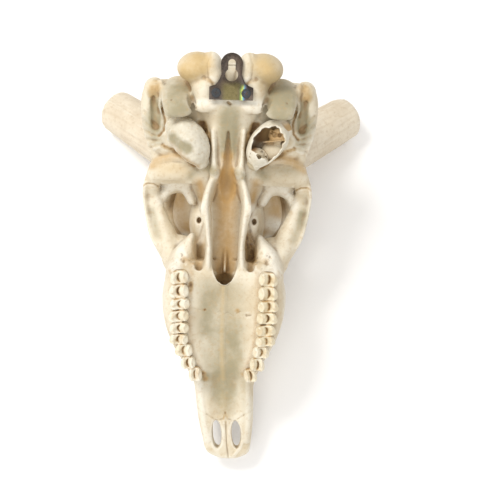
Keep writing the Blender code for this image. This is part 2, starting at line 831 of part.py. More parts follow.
def build_skull(parts, cutters):
    """The whole skull, parted into its named nodes."""
    body = new_object("cranium", bone_clay, parts)
    remesh(body, CLAY_VOXEL)
    relax(body, 6)
    hollows = new_object("hollows", hollow_clay, cutters)
    remesh(hollows, 1.0)
    combine(body, hollows, "DIFFERENCE")
    remesh(body, CLAY_VOXEL)
    relax(body, 2)
    keep_largest(body)
    thin_out(body, BODY_TRIANGLES)
    nodes = {"cranium": body}

    for word, side in SIDES.items():
        for name, form, colour in (("horn_core_", core_form, "horn"), ("bulla_", bulla_form, "ear")):
            piece = new_object(name + word, form, parts, side)
            socket = new_object(name + word + "_socket", form, cutters, side, GAP)
            combine(body, socket, "DIFFERENCE")
            nodes[name + word] = piece
            finish(piece, colour)
    break_open(nodes["bulla_right"], cutters, SIDES["right"])

    for word, side in SIDES.items():
        arch = copy_of(body, "zygomatic_arch_" + word, parts)
        region = new_object("arch_region_" + word, arch_region, cutters, side, 0.0)
        combine(arch, region, "INTERSECT")
        wider = new_object("arch_gap_" + word, arch_region, cutters, side, GAP)
        combine(body, wider, "DIFFERENCE")
        nodes[arch.name] = arch

    nasals = copy_of(body, "nasals", parts)
    region = new_object("nasal_region", bar, cutters, NASAL_REGION)
    combine(nasals, region, "INTERSECT")
    wider = new_object(
        "nasal_gap", lambda bm: bar(bm, NASAL_REGION, grow=GAP), cutters
    )
    combine(body, wider, "DIFFERENCE")
    nodes["nasals"] = nasals

    face = copy_of(body, "upper_jaw", parts)
    front = new_object("face_side", slab, cutters, FACE_CUT_AT_PALATE, FACE_CUT_AT_ROOF, -1, 0)
    back = new_object("cranium_side", slab, cutters, FACE_CUT_AT_PALATE, FACE_CUT_AT_ROOF, 1, GAP)
    combine(face, front, "INTERSECT")
    combine(body, back, "INTERSECT")
    nodes["upper_jaw"] = face

    cuts = (PREMAXILLA_CUT_AT_PALATE, PREMAXILLA_CUT_AT_TOP)
    tip = new_object("premaxilla_side", slab, cutters, *cuts, -1, 0)
    rest = new_object("maxilla_side", slab, cutters, *cuts, 1, GAP)
    for word, side in SIDES.items():
        bone = copy_of(face, "premaxilla_" + word, parts)
        combine(bone, tip, "INTERSECT")
        edges = sorted((GAP / 2 * side, 60 * side))
        half = new_object(
            "premaxilla_half_" + word, box_region, cutters, (edges[0], -300, -200), (edges[1], 0, 60)
        )
        combine(bone, half, "INTERSECT")
        nodes[bone.name] = bone
    combine(face, rest, "INTERSECT")

    add_crowns(face)
    nodes.update(build_hanger(parts, cutters, body))
    lay_down(nodes, cutters)
    for name, node in nodes.items():
        if not name.startswith(("horn", "bulla", "hanger")):
            finish(node, "bone")
        keep_largest(node)
    return nodes


def main():
    for old in list(bpy.data.objects):
        bpy.data.objects.remove(old)
    parts = bpy.data.collections.new("kudu_skull")
    cutters = bpy.data.collections.new("cutters")
    bpy.context.scene.collection.children.link(parts)
    bpy.context.scene.collection.children.link(cutters)
    nodes = build_skull(parts, cutters)
    for cutter in cutters.objects:
        cutter.hide_render = True
        cutter.display_type = "WIRE"
    for name, node in nodes.items():
        node.data.calc_loop_triangles()
        print(name, len(node.data.loop_triangles))


main()
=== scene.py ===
"""The looks of a kudu bull's skull that lies palate up on its sawn horn cores and nasal tips.

The bones are rebuilt in the skull's own frame, in millimetres: X to the animal's right, Y to
the back of the head, Z up through the palate, zero at the middle of the palate's back edge.
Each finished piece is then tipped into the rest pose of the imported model, in metres.
"""

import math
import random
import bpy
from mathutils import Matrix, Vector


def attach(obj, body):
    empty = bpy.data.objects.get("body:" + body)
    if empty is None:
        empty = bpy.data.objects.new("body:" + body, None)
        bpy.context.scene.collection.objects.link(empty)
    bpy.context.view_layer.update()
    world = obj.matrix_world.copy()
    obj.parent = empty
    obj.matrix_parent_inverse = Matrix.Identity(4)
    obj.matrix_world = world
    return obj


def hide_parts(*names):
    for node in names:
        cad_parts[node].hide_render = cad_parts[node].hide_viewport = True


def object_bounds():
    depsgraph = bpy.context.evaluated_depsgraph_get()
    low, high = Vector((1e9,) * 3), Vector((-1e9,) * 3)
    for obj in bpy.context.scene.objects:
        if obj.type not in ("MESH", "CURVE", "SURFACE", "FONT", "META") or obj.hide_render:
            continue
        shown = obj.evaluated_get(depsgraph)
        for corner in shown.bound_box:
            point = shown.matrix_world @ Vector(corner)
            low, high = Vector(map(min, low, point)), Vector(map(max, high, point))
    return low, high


bl_info = {
    "name": "Kudu Skull",
    "version": (1, 0, 0),
    "blender": (4, 5, 0),
    "location": "3D View > Sidebar > Kudu Skull",
    "description": "Builds the bones, teeth, horn cores and hanger of a kudu skull, and its stage",
    "category": "Add Mesh",
}

import bmesh
import bpy
import numpy as np
from bpy.props import FloatProperty, FloatVectorProperty, PointerProperty
from bpy.types import Operator, Panel, PropertyGroup
from mathutils import Euler, Matrix, Vector
from mathutils.kdtree import KDTree

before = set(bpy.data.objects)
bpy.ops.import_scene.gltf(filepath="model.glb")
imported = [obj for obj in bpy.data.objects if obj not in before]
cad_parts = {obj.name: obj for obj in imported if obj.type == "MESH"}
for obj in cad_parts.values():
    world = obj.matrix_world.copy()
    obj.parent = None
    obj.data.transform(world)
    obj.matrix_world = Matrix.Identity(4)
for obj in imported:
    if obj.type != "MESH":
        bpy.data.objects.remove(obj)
CAD_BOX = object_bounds()

# Scale, sides and the rest pose in degrees and millimetres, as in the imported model
MM = 0.001
SIDES = {"left": -1, "right": 1}
REST_PITCH = 29.64
REST_LIFT = 104.5
REST_SHIFT = -44.7
# The snout's lean: its slope, where it starts and how softly
LEAN_SLOPE = 0.082
LEAN_FROM = -70.0
LEAN_BLEND = 8.0
# Gap where bones are parted, and limits of the meshes
SEAM = 0.04
MOST_TRIANGLES = 190000

# Midline forms: y, centre z, half width, half height
MIDLINE_FORMS = {
    "braincase": [
        (70, -70, 30, 38), (92, -68, 41, 44), (118, -64, 45, 46), (142, -58, 50, 43),
        (158, -53, 52, 36), (168, -50, 48, 28),
    ],
    "frontal": [
        (-14, -92, 22, 6), (8, -99, 40, 8), (28, -106, 58, 8), (47, -110, 65, 8), (66, -112, 61, 9),
        (86, -114, 52, 13), (108, -112, 46, 15), (128, -104, 42, 13),
    ],
    "sphenoid": [
        (6, -60, 38, 36), (24, -66, 29, 38), (45, -69, 24, 39), (66, -69, 25, 40), (88, -68, 34, 42),
    ],
    "base": [
        (70, -52, 15, 18), (86, -44, 13.5, 20), (98, -38, 13.5, 20), (111, -36, 15, 20.5),
        (124, -34, 16.2, 21), (135, -31, 20, 21.5), (146, -29, 26, 22.5), (160, -27, 30, 24.5),
        (174, -28, 27, 20),
    ],
    "orbit wall": [
        (22, -98, 38, 20), (40, -100, 52, 26), (60, -101, 53, 28), (78, -98, 47, 26),
    ],
    "nuchal rim": [
        (174, -66, 20, 17), (187, -64, 17, 15), (193, -63, 11, 9),
    ],
}
# Upper jaw, front to back: y, then z of the palate, half width and z of the gum's inner
# edge, half width of its outer edge, half width and z of the cheek, of the side wall, of
# the nasal edge, and z of the top
UPPER_JAW = [
    (-166, -1, 3, 0, 6, 7, -3, 6, -5, 3, -7, -7.5),
    (-160, -2, 9, 0, 17, 19.5, -4, 17, -8, 8, -10, -10.5),
    (-146, -3, 14, 0, 20, 22.8, -5, 20, -12, 10, -17, -18),
    (-128, -3.5, 15, 0, 22, 25.3, -6, 23, -18, 13, -28, -30),
    (-110, -3.5, 15, 0, 23, 26.5, -8, 24, -26, 15, -46, -52),
    (-96, -3, 15, 0, 24, 27.5, -9, 26, -34, 16, -58, -66),
    (-80, 0, 18, 4, 31, 34.5, -12, 31, -42, 18, -65, -73),
    (-60, 0, 25, 4.5, 42, 45.5, -16, 35, -47, 20, -71, -80),
    (-40, 0, 28.5, 4.5, 49, 53, -20, 40, -51, 22, -77, -86),
    (-20, 0, 29.5, 4.5, 51, 56, -22, 43, -55, 25, -83, -92),
    (0, -1, 29.5, 3, 50, 54, -24, 47, -58, 29, -88, -97),
    (9, -2, 29, 1, 49, 54, -27, 49, -59, 32, -89, -98),
    (16, -14, 27, -6, 46, 53, -30, 50, -60, 34, -90, -99),
]
ORBIT_RIM = [
    (68, 48, -57, 5, 5), (69, 67, -63, 6, 6), (66, 78, -82, 7.5, 7.5), (62, 70, -103, 7, 7),
    (62, 48, -111, 5, 5), (56, 26, -106, 6, 6), (53, 17, -84, 8, 8), (59, 26, -63, 7, 7),
]
ORBIT_RIM_BREADTH = (0.9, -0.2, -0.3)
# Bars on both sides: the direction of their breadth, then rows of x, y, z, half breadth
# and half thickness
BARS = {
    "zygomatic arch": ((1, 0, 0), [
        (43, 4, -32, 9, 14), (51, 19, -38, 10, 14), (58.5, 35, -44, 12, 11), (63, 46, -47, 10.7, 10),
        (66, 55, -49, 9.4, 9), (70.3, 69.5, -50, 7.8, 8), (71, 80, -48, 7.7, 8), (67, 92, -42, 8, 7),
    ]),
    "masseter edge": ((1, 0, 0), [
        (54, -22, -18, 2, 2.5), (52, 2, -24, 2, 3), (58, 17, -33, 2, 3), (69, 34, -39, 2, 3),
        (74, 52, -43, 2, 3), (77, 72, -43, 2, 3), (76, 84, -40, 2, 3),
    ]),
    "palatine wall": ((1, 0, 0), [
        (17, -8, -9, 9, 8.5), (16.6, 2, -9, 7.5, 8.5), (15.4, 12, -11, 4.6, 11),
        (14.8, 22, -13, 3.5, 14), (14.8, 34, -15, 3.2, 16), (16.6, 54, -14, 4.0, 17),
        (18.2, 67, -15, 4.4, 18), (15.5, 79, -21, 4.4, 15), (12.5, 88, -28, 4, 11),
    ]),
    "pterygoid flange": ((1, 0, 0), [
        (16.5, 48, -4, 1.8, 3), (19, 59, -1.5, 3.0, 2.6), (20.6, 67.5, 1.5, 2.6, 2.0),
        (18.5, 75, -6, 2.6, 2.4), (14.5, 84, -14, 2.6, 3),
    ]),
    "tuber": ((1, 0, 0), [
        (40, -6, -20, 13, 18), (39, 12, -24, 13, 18), (35, 25, -29, 9, 17), (31, 36, -32, 3.5, 14),
    ]),
    "glenoid": ((0, 1, 0), [
        (26, 93, -40, 9.5, 9), (40, 93.5, -39, 9.5, 8), (55, 93, -40, 9.5, 8), (67, 92, -42, 9, 8),
    ]),
    "glenoid swell": ((0, 1, 0), [
        (34, 95, -36, 9, 6), (46, 96, -34.5, 9.5, 6.5), (58, 95, -35.5, 9, 6), (68, 93, -39, 7, 5),
    ]),
    "postglenoid ridge": ((0, 1, 0), [
        (32, 106, -38, 4, 6), (44, 108.5, -35, 4, 6), (57, 107, -37, 4, 6), (69, 100, -41, 4, 5),
    ]),
    "temporal crest": ((1, 0, 0), [
        (60, 98, -44, 9, 8), (64, 114, -44, 9, 9), (69, 132, -40, 9.5, 10), (72, 150, -40, 9, 12),
        (71, 164, -41, 9.5, 13), (65, 168, -50, 10, 11), (48, 170, -64, 9, 11), (24, 178, -80, 8, 10),
        (0, 182, -86, 8, 9),
    ]),
    "mastoid ridge": ((1, 0, 0), [
        (63, 176, -30, 3, 5), (61, 166, -27, 2.2, 5), (63, 157, -28, 2, 5), (60, 146, -31, 2, 5),
        (62, 134, -32, 2.4, 4),
    ]),
    "ear tube": ((0, 1, 0), [
        (46, 128, -30, 6, 7), (57, 122, -32, 5, 6), (66, 118, -34, 4.5, 5),
    ]),
    "paracondylar plate": ((1, 0, 0), [
        (46, 172, -42, 15, 11), (47, 167, -24, 15, 8.5), (46, 160, -10, 14.5, 5.4),
        (44.8, 149.5, -2, 12.8, 3.6),
    ]),
    "condyle neck": ((1, 0, 0), [
        (27, 190, -26, 17, 14), (22, 176, -15, 13, 13), (21, 164, -14, 12.5, 11.5),
    ]),
    "base ridge": ((1, 0, 0), [
        (10, 90, -24, 2.8, 6), (11.8, 99, -19, 3.2, 7), (12.6, 112, -18.5, 2.5, 5),
        (13, 125, -16.5, 2.5, 5), (13.8, 136, -14.5, 2.4, 5),
    ]),
    "flare edge": ((0, 1, 0), [
        (7, 157.5, -9, 4.6, 4.6), (16, 156.5, -7, 5.4, 5), (25, 156, -7, 5.4, 4.6),
        (33, 158.5, -11, 4, 4),
    ]),
    "orbit roof arch": ((0, 0, 1), [
        (61.5, 66, -57, 7, 3.6), (58, 74, -57, 8, 5.0), (48.5, 79.5, -57, 8, 6.2),
        (39, 77, -57, 8, 5.2), (33.5, 66, -58, 7, 3.8),
    ]),
}
# Ellipsoids on both sides: centre, radii, turn in degrees
BLOBS = {
    "condyle": ((30, 190.5, -14), (17.5, 14, 16), (0, 0, -6)),
    "condyle facet": ((17, 191.5, -11), (10.5, 13.5, 12), (0, 0, 0)),
    "condyle lip": ((14, 183, -9), (9, 13, 9), (0, 0, 0)),
    "base tubercle": ((11.5, 97, -17), (5, 7.5, 5.5), (0, 0, 0)),
    "mastoid knob": ((69, 170, -40), (10, 11, 13), (0, 0, 0)),
    "temporal wall": ((46, 108, -58), (18, 26, 26), (0, 0, 0)),
    "orbit back": ((47, 85, -63), (20, 10.5, 18), (0, 0, 0)),
    "orbit side": ((26, 45, -73), (10, 25, 22), (0, 0, 0)),
    "ear region": ((56, 132, -44), (17, 26, 20), (0, 0, 0)),
    "horn base": ((40, 104, -112), (22, 24, 22), (0, 0, 0)),
    "occiput": ((24, 171, -54), (37, 13, 34), (0, 0, 0)),
    "mastoid web": ((56, 161, -46), (18, 13, 19), (0, 0, 0)),
    "foramen rim": ((12, 186, -46), (18, 9, 16), (0, 0, 0)),
    "orbit floor": ((43, 16, -44), (17, 20, 18), (0, 0, 0)),
    "facial tuber": ((50, -19, -22), (7, 22, 10), (0, 0, 0)),
}
# Hollows on the midline: y, centre z, half width, half height
MIDLINE_HOLLOWS = {
    "nasal cavity": [
        (-172, -21, 10, 11), (-150, -26, 15, 18), (-125, -34, 18, 26), (-100, -36, 18, 25),
        (-75, -37, 16, 22), (-60, -38, 10, 14),
    ],
    "choana": [
        (-26, -18, 6, 8), (-7, -17, 8, 10.5), (1.5, -11, 9, 10.5), (5.5, -9, 9.8, 12),
        (9, -8, 10.6, 14.5), (14, -9, 11.4, 17), (40, -12, 11.6, 18), (66, -12, 12, 18),
        (84, -6, 9.5, 12),
    ],
    "foramen magnum": [
        (214, -34, 15, 15), (190, -38, 14.5, 14.5), (165, -46, 20, 20), (140, -54, 26, 26),
        (122, -58, 12, 14),
    ],
}
# Hollows on both sides, as the bars are given
SIDE_HOLLOWS = {
    "condylar fossa": ((1, 0, 0), [(42, 177, -3, 3, 8), (36, 167, -4, 3.6, 9), (31.5, 156, -8, 3.4, 8)]),
    "mastoid hollow": ((1, 0, 0), [(69, 162, -26, 3, 6), (67.5, 148, -25, 4.5, 6), (67, 137, -28, 4, 5)]),
    "palatine notch": ((1, 0, 0), [(24, 34, -12, 4, 11), (23.5, 22, -6, 5, 11), (23.3, 13, -3, 4, 8)]),
}
# Blind and through holes on both sides: centre and radii
HOLES = {
    "palatine fissure": ((9, -143, 0), (4.4, 13.4, 30)),
    "palatine foramen": ((14.5, -27, 0), (1.2, 1.8, 4)),
    "supraorbital foramen": ((27, 41, -112), (2.2, 2.2, 24)),
    "optic foramen": ((26, 48.5, -52), (2.4, 3.4, 9)),
    "oval foramen": ((27, 98, -38), (2, 2.6, 7)),
}
BASE_GROOVE = [
    (0, 134, -9, 1.0, 4), (0, 118, -14, 3.0, 5), (0, 104, -16, 4.5, 6), (0, 94, -18, 6.0, 7),
    (0, 84, -24, 6.5, 7), (0, 75, -24, 7.0, 7), (0, 67, -22, 7.0, 8),
]
VOMER = [
    (0, 4, -24, 1.6, 13), (0, 18, -30, 2.2, 8), (0, 30, -34, 3.2, 5.5), (0, 60, -36.5, 4.0, 6.5),
    (0, 76, -39, 4.0, 6.5),
]

# Sawn horn cores
CORE_ROOT = (36, 101, -112)
CORE_END = (121, 146, -183)
CORE_ROOT_RADIUS = 26
CORE_END_RADIUS = 21.5
CORE_STEPS = (0, 0.3, 0.6, 0.85, 0.965)
CORE_FLATNESS = 0.94
SAWN_EDGE = 2
GROOVE_STRETCH = 0.09
HIGHEST_FIBRE = 0.25
SAWN_FACING = 0.8

# Ear capsules
BULLA = [
    (48.5, 138.5, -18, 7.5, 10), (42.5, 133, -15, 13, 15), (34.5, 124.5, -14, 15.5, 17),
    (27.5, 114, -14, 12.5, 14), (23.5, 106, -16, 6, 8),
]
BULLA_BREADTH = (0.77, 0.64)
BULLA_WALL = 1.6
CAPSULE_ROOM = 1.6
BREAKS = [
    ((38, 122, 7.5), (27.5, 29, 16.5)), ((24, 108, 1), (12, 11, 10)),
]
# Inside the broken capsule: zones of small cells as centre, radius, lowest and highest z,
# count and sizes, then the smooth floor and the bar as blobs
CELL_ZONES = [
    ((25, 109.5), 11.5, (-26, 2), 130, (0.9, 2.0)),
    ((46, 132.5), 10.5, (-26, -8.5), 60, (1.5, 3.0)),
]
CAPSULE_FLOORS = [
    ((43, 117.5, -23), (14, 11, 12), (0, 0, 0)),
    ((43, 127.5, -14), (14, 0.9, 8.5), (0, 0, 8)),
]
CELL_DEPTH = 1.6
DENT_DEPTH = 1.9
# Routes on the whole capsule, then on the broken one with their radii: cavity, spongy bone
# and knob. The first route presses the whole capsule in and greys the dent as painted shade
CAPSULE_DENT = [(-50, 127), (-43, 122), (-36, 119)]
CAPSULE_EDGE = [(-58, 124), (-46, 114), (-36, 108), (-28, 101)]
CAPSULE_TINT_ROUTES = (
    ([(22, 122), (27, 128), (32, 133)], 9), ([(37, 132), (56, 136)], 11), ([(25, 109)], 15),
)

# Cheek teeth: y, distance of the centre from the midline, length, width, lobes, height
TEETH = [
    (-83.5, 24.8, 12.5, 11.5, 1, 8.5),
    (-73.0, 31.0, 12.0, 13.5, 1, 9.5),
    (-61.5, 35.0, 11.5, 15.5, 1, 10.0),
    (-46.0, 38.8, 20.0, 17.5, 2, 10.5),
    (-24.5, 39.4, 21.5, 18.5, 2, 11.0),
    (-1.5, 39.6, 25.5, 17.0, 2, 8.5),
]
CROWN_ROOT = 10.0
GUM_Z = 4.0
GUM_RISE = 3.5
GUM_FADE = 4
WALL_DROP = 2.2
SHOULDER = 1.6
CROWN_LIFT = 1.2
LOBE_SIDES = 40
TOP_REACHES = (0.99, 0.96, 0.91, 0.84, 0.76, 0.68, 0.6, 0.52, 0.44, 0.36, 0.28, 0.2, 0.12, 0.05)
# Across a lobe, from -1 on the tongue side to 1 on the cheek side
CHEEK_CUSP = 0.62
TONGUE_CUSP = -0.42
CUSP_BEND = 0.35
VALLEY = 0.16

# Hanger plate and screws
PLATE_Z = 0.8
PLATE_THICKNESS = 1.6
PLATE_ROUNDING = 0.35
FOOT_HALF = 19.3
FOOT_BACK = 173.7
FOOT_FRONT = 162.6
NECK_HALF = 9.0
NECK_Y = 184.5
PLATE_X = 1.6
EYE_RADIUS = 9.7
EYE_Y = 194.0
KEYHOLE_Y = 184.5
KEYHOLE_RADIUS = 5.6
KEYHOLE_START = math.radians(125)
KEYHOLE_SWEEP = math.radians(290)
SLOT_HALF = 3.2
SCREW_X = 13.2
SCREW_Y = 168.6
SCREW_HEAD_RADIUS = 4.2
SCREW_HEAD_DEPTH = 1.6
SCREW_RISE = 0.9
RECESS = (4.6, 0.95, 2.0)
SCREW_ROUNDING = 0.55
NECK_CURVE = ((5.3, FOOT_BACK + 2), (3.2, FOOT_BACK + 4), (1.7, NECK_Y - 4.3), (0, NECK_Y))
DARK_ZINC = (0.030, 0.024, 0.022)
BROWN_ZINC = (0.075, 0.052, 0.036)
OLIVE_ZINC = (0.105, 0.085, 0.028)
RAINBOW = ((0.14, 0.22, 0.05), (0.38, 0.36, 0.07), (0.13, 0.36, 0.30), (0.07, 0.10, 0.22))
BLACK_SCREW = (0.026, 0.030, 0.035)
WORN_SCREW = (0.055, 0.062, 0.07)
# Where the plate's colours lie, in metres: a start, then where the colour is full
FOOT_FADE = (0.1845, 0.1765)
OLIVE_BAND = (0.0045, 0.0105, 0.004)
STREAK_EDGES = (0.0125, 0.0165)
STREAK_FADE = (0.0034, 0.0012)
STREAK_END = (0.1795, 0.1745)

# Where the bones are parted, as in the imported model
FACE_CUT_AT_PALATE = 39.0
FACE_CUT_AT_ROOF = 2.0
ROOF_Z = -120.0
PREMAXILLA_CUT_AT_PALATE = -124.0
PREMAXILLA_CUT_AT_TOP = -108.0
NASAL_REGION = [
    (0, -124, -58, 17, 12), (0, -104, -66, 17.5, 12), (0, -60, -80, 18.5, 9), (0, -20, -92, 17, 8),
    (0, 4, -99, 10, 8),
]
ARCH_REGION = [(46.0, 26.0, -60.0), (95.0, 87.0, 0.0)]
SNOUT_HALF = 60
SNOUT_BOX = [(-300, -200), (0, 60)]
ABOVE_SKULL = 60
BELOW_SKULL = -260
PAST_SKULL = 400
BESIDE_SKULL = 200

# Voxel sizes in millimetres, apart from that of the bone
VOXELS = {
    "hollows": 0.9, "capsule": 0.7, "broken capsule": 0.55, "break": 1.0, "cells": 0.5, "floors": 0.6,
    "core": 0.9, "teeth": 0.45,
}
# Uneven surfaces: for each ripple its height and size in millimetres and its seed
UNEVEN = {
    "strokes": ((0.6, 3.2, 5), (0.6, 6.5, 6)),
    "capsule": ((0.5, 16, 21), (0.16, 5, 22)),
    "break": ((1.3, 9, 31), (0.6, 4, 32)),
    "core fibres": ((0.2, 3.6, 41), (0.25, 11, 42)),
    "sawn end": ((0.1, 3, 43),),
    "core stain": ((-0.18, 6, 44),),
    "gum": ((1.5, 6, 51),),
    "tooth stain": ((1.0, 8, 52),),
}

# Relief and stain drawn on the palate side: sides, radius, height, stain, roughness, then
# points as x, y. For some strokes the stain is painted shade; below zero it is painted
# highlight that lessens the painted shade of the hollows
STROKES = {
    "palate vault": ("m", 24, -3.4, 0.0, 0.0, [(0, -88), (0, -50), (0, -18)]),
    "middle seam": ("m", 3.2, 0.5, 0.12, 0.1, [(0.5, -4), (0, -40), (-0.6, -80), (-0.4, -98)]),
    "cross seam": ("m", 1.2, -0.2, 0.2, 0.2, [
        (-27, -24), (-15, -26.5), (-8, -29.5), (-3, -27), (0, -30), (4, -28), (9, -31.5),
        (14, -27), (27, -24),
    ]),
    "front seam": ("lr", 1.3, -0.5, 0.4, 0.0, [(25, -119), (16, -124), (8, -130), (2, -128), (0, -122)]),
    "gutter": ("lr", 8, -0.7, 0.0, 0.1, [(10, -92), (9, -108), (9, -122)]),
    "front crest": ("m", 5, 0.7, 0.25, 0.3, [(-0.5, -106), (-0.5, -118), (-0.5, -131)]),
    "side border": ("lr", 4.5, 1.6, -0.4, 0.0, [(22, -88), (21.5, -110), (20.5, -130), (18, -148)]),
    "tip seam": ("m", 1.2, -0.8, 0.5, 0.0, [(0, -131), (-0.3, -150), (0.3, -165)]),
    "tip ridge": ("r", 2.2, 0.9, -0.3, 0.0, [(6, -162), (11, -156), (14, -149)]),
    "foramen shade": ("r", 4.5, -0.3, 0.8, 0.3, [(12.5, -26.5)]),
    # Painted shade: a dark spot where the left palatine foramen's hole is filled
    "foramen": ("l", 1.7, -0.9, 1.7, 0.0, [(-16.5, -26)]),
    "palate pits": ("r", 2.6, -0.5, 0.5, 1.2, [(21, -30), (24, -29)]),
    "gum spot": ("l", 3.2, 0.2, 0.8, 0.0, [(-30, -2), (-29.5, -7)]),
    "gum inside": ("lr", 4.2, 0.5, 0.55, 0.5, [
        (18, -84), (24, -70), (27.5, -58), (29.5, -40), (30, -12), (29, 8),
    ]),
    "gum back": ("lr", 7, 0.6, 0.6, 0.9, [(31, 14), (36, 20), (42, 16), (48, 8)]),
    "behind last tooth": ("lr", 5, -1.6, 0.6, 1.0, [(38, 18), (40, 22)]),
    "canine stain": ("l", 6, -1.0, 0.9, 0.1, [(-18.5, -86), (-16.5, -90)]),
    "canine stain right": ("r", 3.5, -0.5, 0.5, 0.3, [(16.5, -84), (17, -86)]),
    "tuber edge": ("lr", 3.6, 0.4, 0.5, 0.6, [(27, 16), (30, 26), (31, 35)]),
    # Painted highlight on the face of the tuber
    "tuber face": ("lr", 9, 0.0, -0.7, 0.0, [(42, 12), (40, 26)]),
    "arch dish": ("lr", 9, -1.6, -0.2, 0.1, [(64, 36), (68, 52), (70, 70)]),
    "arch suture": ("lr", 1.6, -0.6, 0.8, 0.0, [(63, 80), (68, 83), (74, 83.5), (78, 81)]),
    "arch inner stain": ("lr", 4, 0.0, 0.4, 0.2, [(44, 33), (53, 44), (60, 58), (63, 78)]),
    # Painted light on the crescent behind the orbit
    "orbit crescent": ("lr", 8, 0.4, -0.9, 0.0, [(61, 67), (58, 76), (48, 82), (39, 79), (33, 68)]),
    # Painted light on the wall below the glenoid's edge
    "glenoid edge": ("lr", 2.6, 0.7, -0.7, 0.0, [(34, 86), (46, 84), (60, 84)]),
    "knob": ("lr", 9, 0.3, 0.8, 0.7, [(66, 174), (70, 166)]),
    "ear groove": ("lr", 2.2, -1.8, 0.9, 0.2, [(60, 153), (58, 142), (59, 133), (64, 128)]),
    "stria high": ("lr", 2.6, -0.8, 0.2, 0.2, [(78, 150), (70, 141), (62, 133)]),
    "stria upper": ("lr", 2.6, -0.8, 0.2, 0.2, [(80, 142), (71, 136), (62, 130)]),
    "stria middle": ("lr", 2.6, -0.8, 0.2, 0.2, [(80, 133), (72, 130), (62, 127)]),
    "stria low": ("lr", 2.6, -0.8, 0.2, 0.2, [(79, 124), (71, 124), (62, 124)]),
    "stria last": ("lr", 2.6, -0.8, 0.2, 0.2, [(76, 115), (68, 118), (60, 121)]),
    # Painted shade in the base's groove
    "base groove": ("m", 4.5, 0.0, 0.7, 0.0, [(0, 126), (0, 106), (0, 92), (0, 82)]),
    "tubercle left": ("l", 5.5, 0.8, 0.35, 1.2, [(-19, 102), (-12, 98)]),
    "tubercle right": ("r", 5.5, 0.8, 0.35, 1.2, [(8, 98), (14, 94)]),
    # Painted shade in the gap between the ear capsule and the base
    "capsule gap": ("lr", 4, -0.4, 1.2, 0.2, [(22, 141), (18, 130), (16.5, 118), (19, 107)]),
    "capsule front": ("lr", 3.6, -0.8, 1.0, 0.3, [(60, 119), (50, 115), (40, 109), (31, 102)]),
    # Painted shade in the corner beside the ear capsule's back end
    "dark corner": ("lr", 5, -3.0, 1.5, 0.2, [(26, 140), (23, 133)]),
    "condyle back": ("lr", 9, -0.8, 0.0, 0.0, [(24, 200), (38, 196)]),
    "condyle front": ("lr", 8, -0.7, 0.0, 0.0, [(40, 180), (28, 177)]),
    "condyle patch": ("lr", 3.6, -0.5, 0.6, 0.5, [(23, 181), (15, 177)]),
    "condyle facet edge": ("lr", 2.0, -0.6, 0.2, 0.0, [(17, 204), (20, 194), (19, 182), (14, 174)]),
    # Painted shade in the right notch, the shaded side
    "notch dark": ("r", 8, -0.6, 1.3, 1.3, [(20, 36), (23, 24), (24, 16)]),
    "facet patch": ("lr", 3.4, -0.4, 0.5, 0.7, [(9, 172), (14, 172)]),
    # Painted shadow under the hanger plate
    "below plate": ("m", 2.4, -2.0, 0.9, 0.2, [(-1, 160.5), (1, 159)]),
    "plate hole": ("lr", 1.6, -0.7, 0.5, 0.0, [(51, 161.5), (51.5, 161)]),
    "plate border": ("lr", 2.4, 0.4, 0.0, 0.0, [(56, 168), (55, 152), (46, 145), (37, 148)]),
    # Painted highlight on the flares
    "flare band": ("lr", 4, 0.3, -0.5, 0.0, [(6, 158), (16, 157), (30, 156)]),
}

# Strokes drawn on deep faces, below this z, and the lowest z of all the others
DEEP_STROKES = {"notch dark": -8}
LOWEST_STROKE = -58
DRAWN_SIDES = {"m": (1,), "lr": (-1, 1), "l": (1,), "r": (1,)}
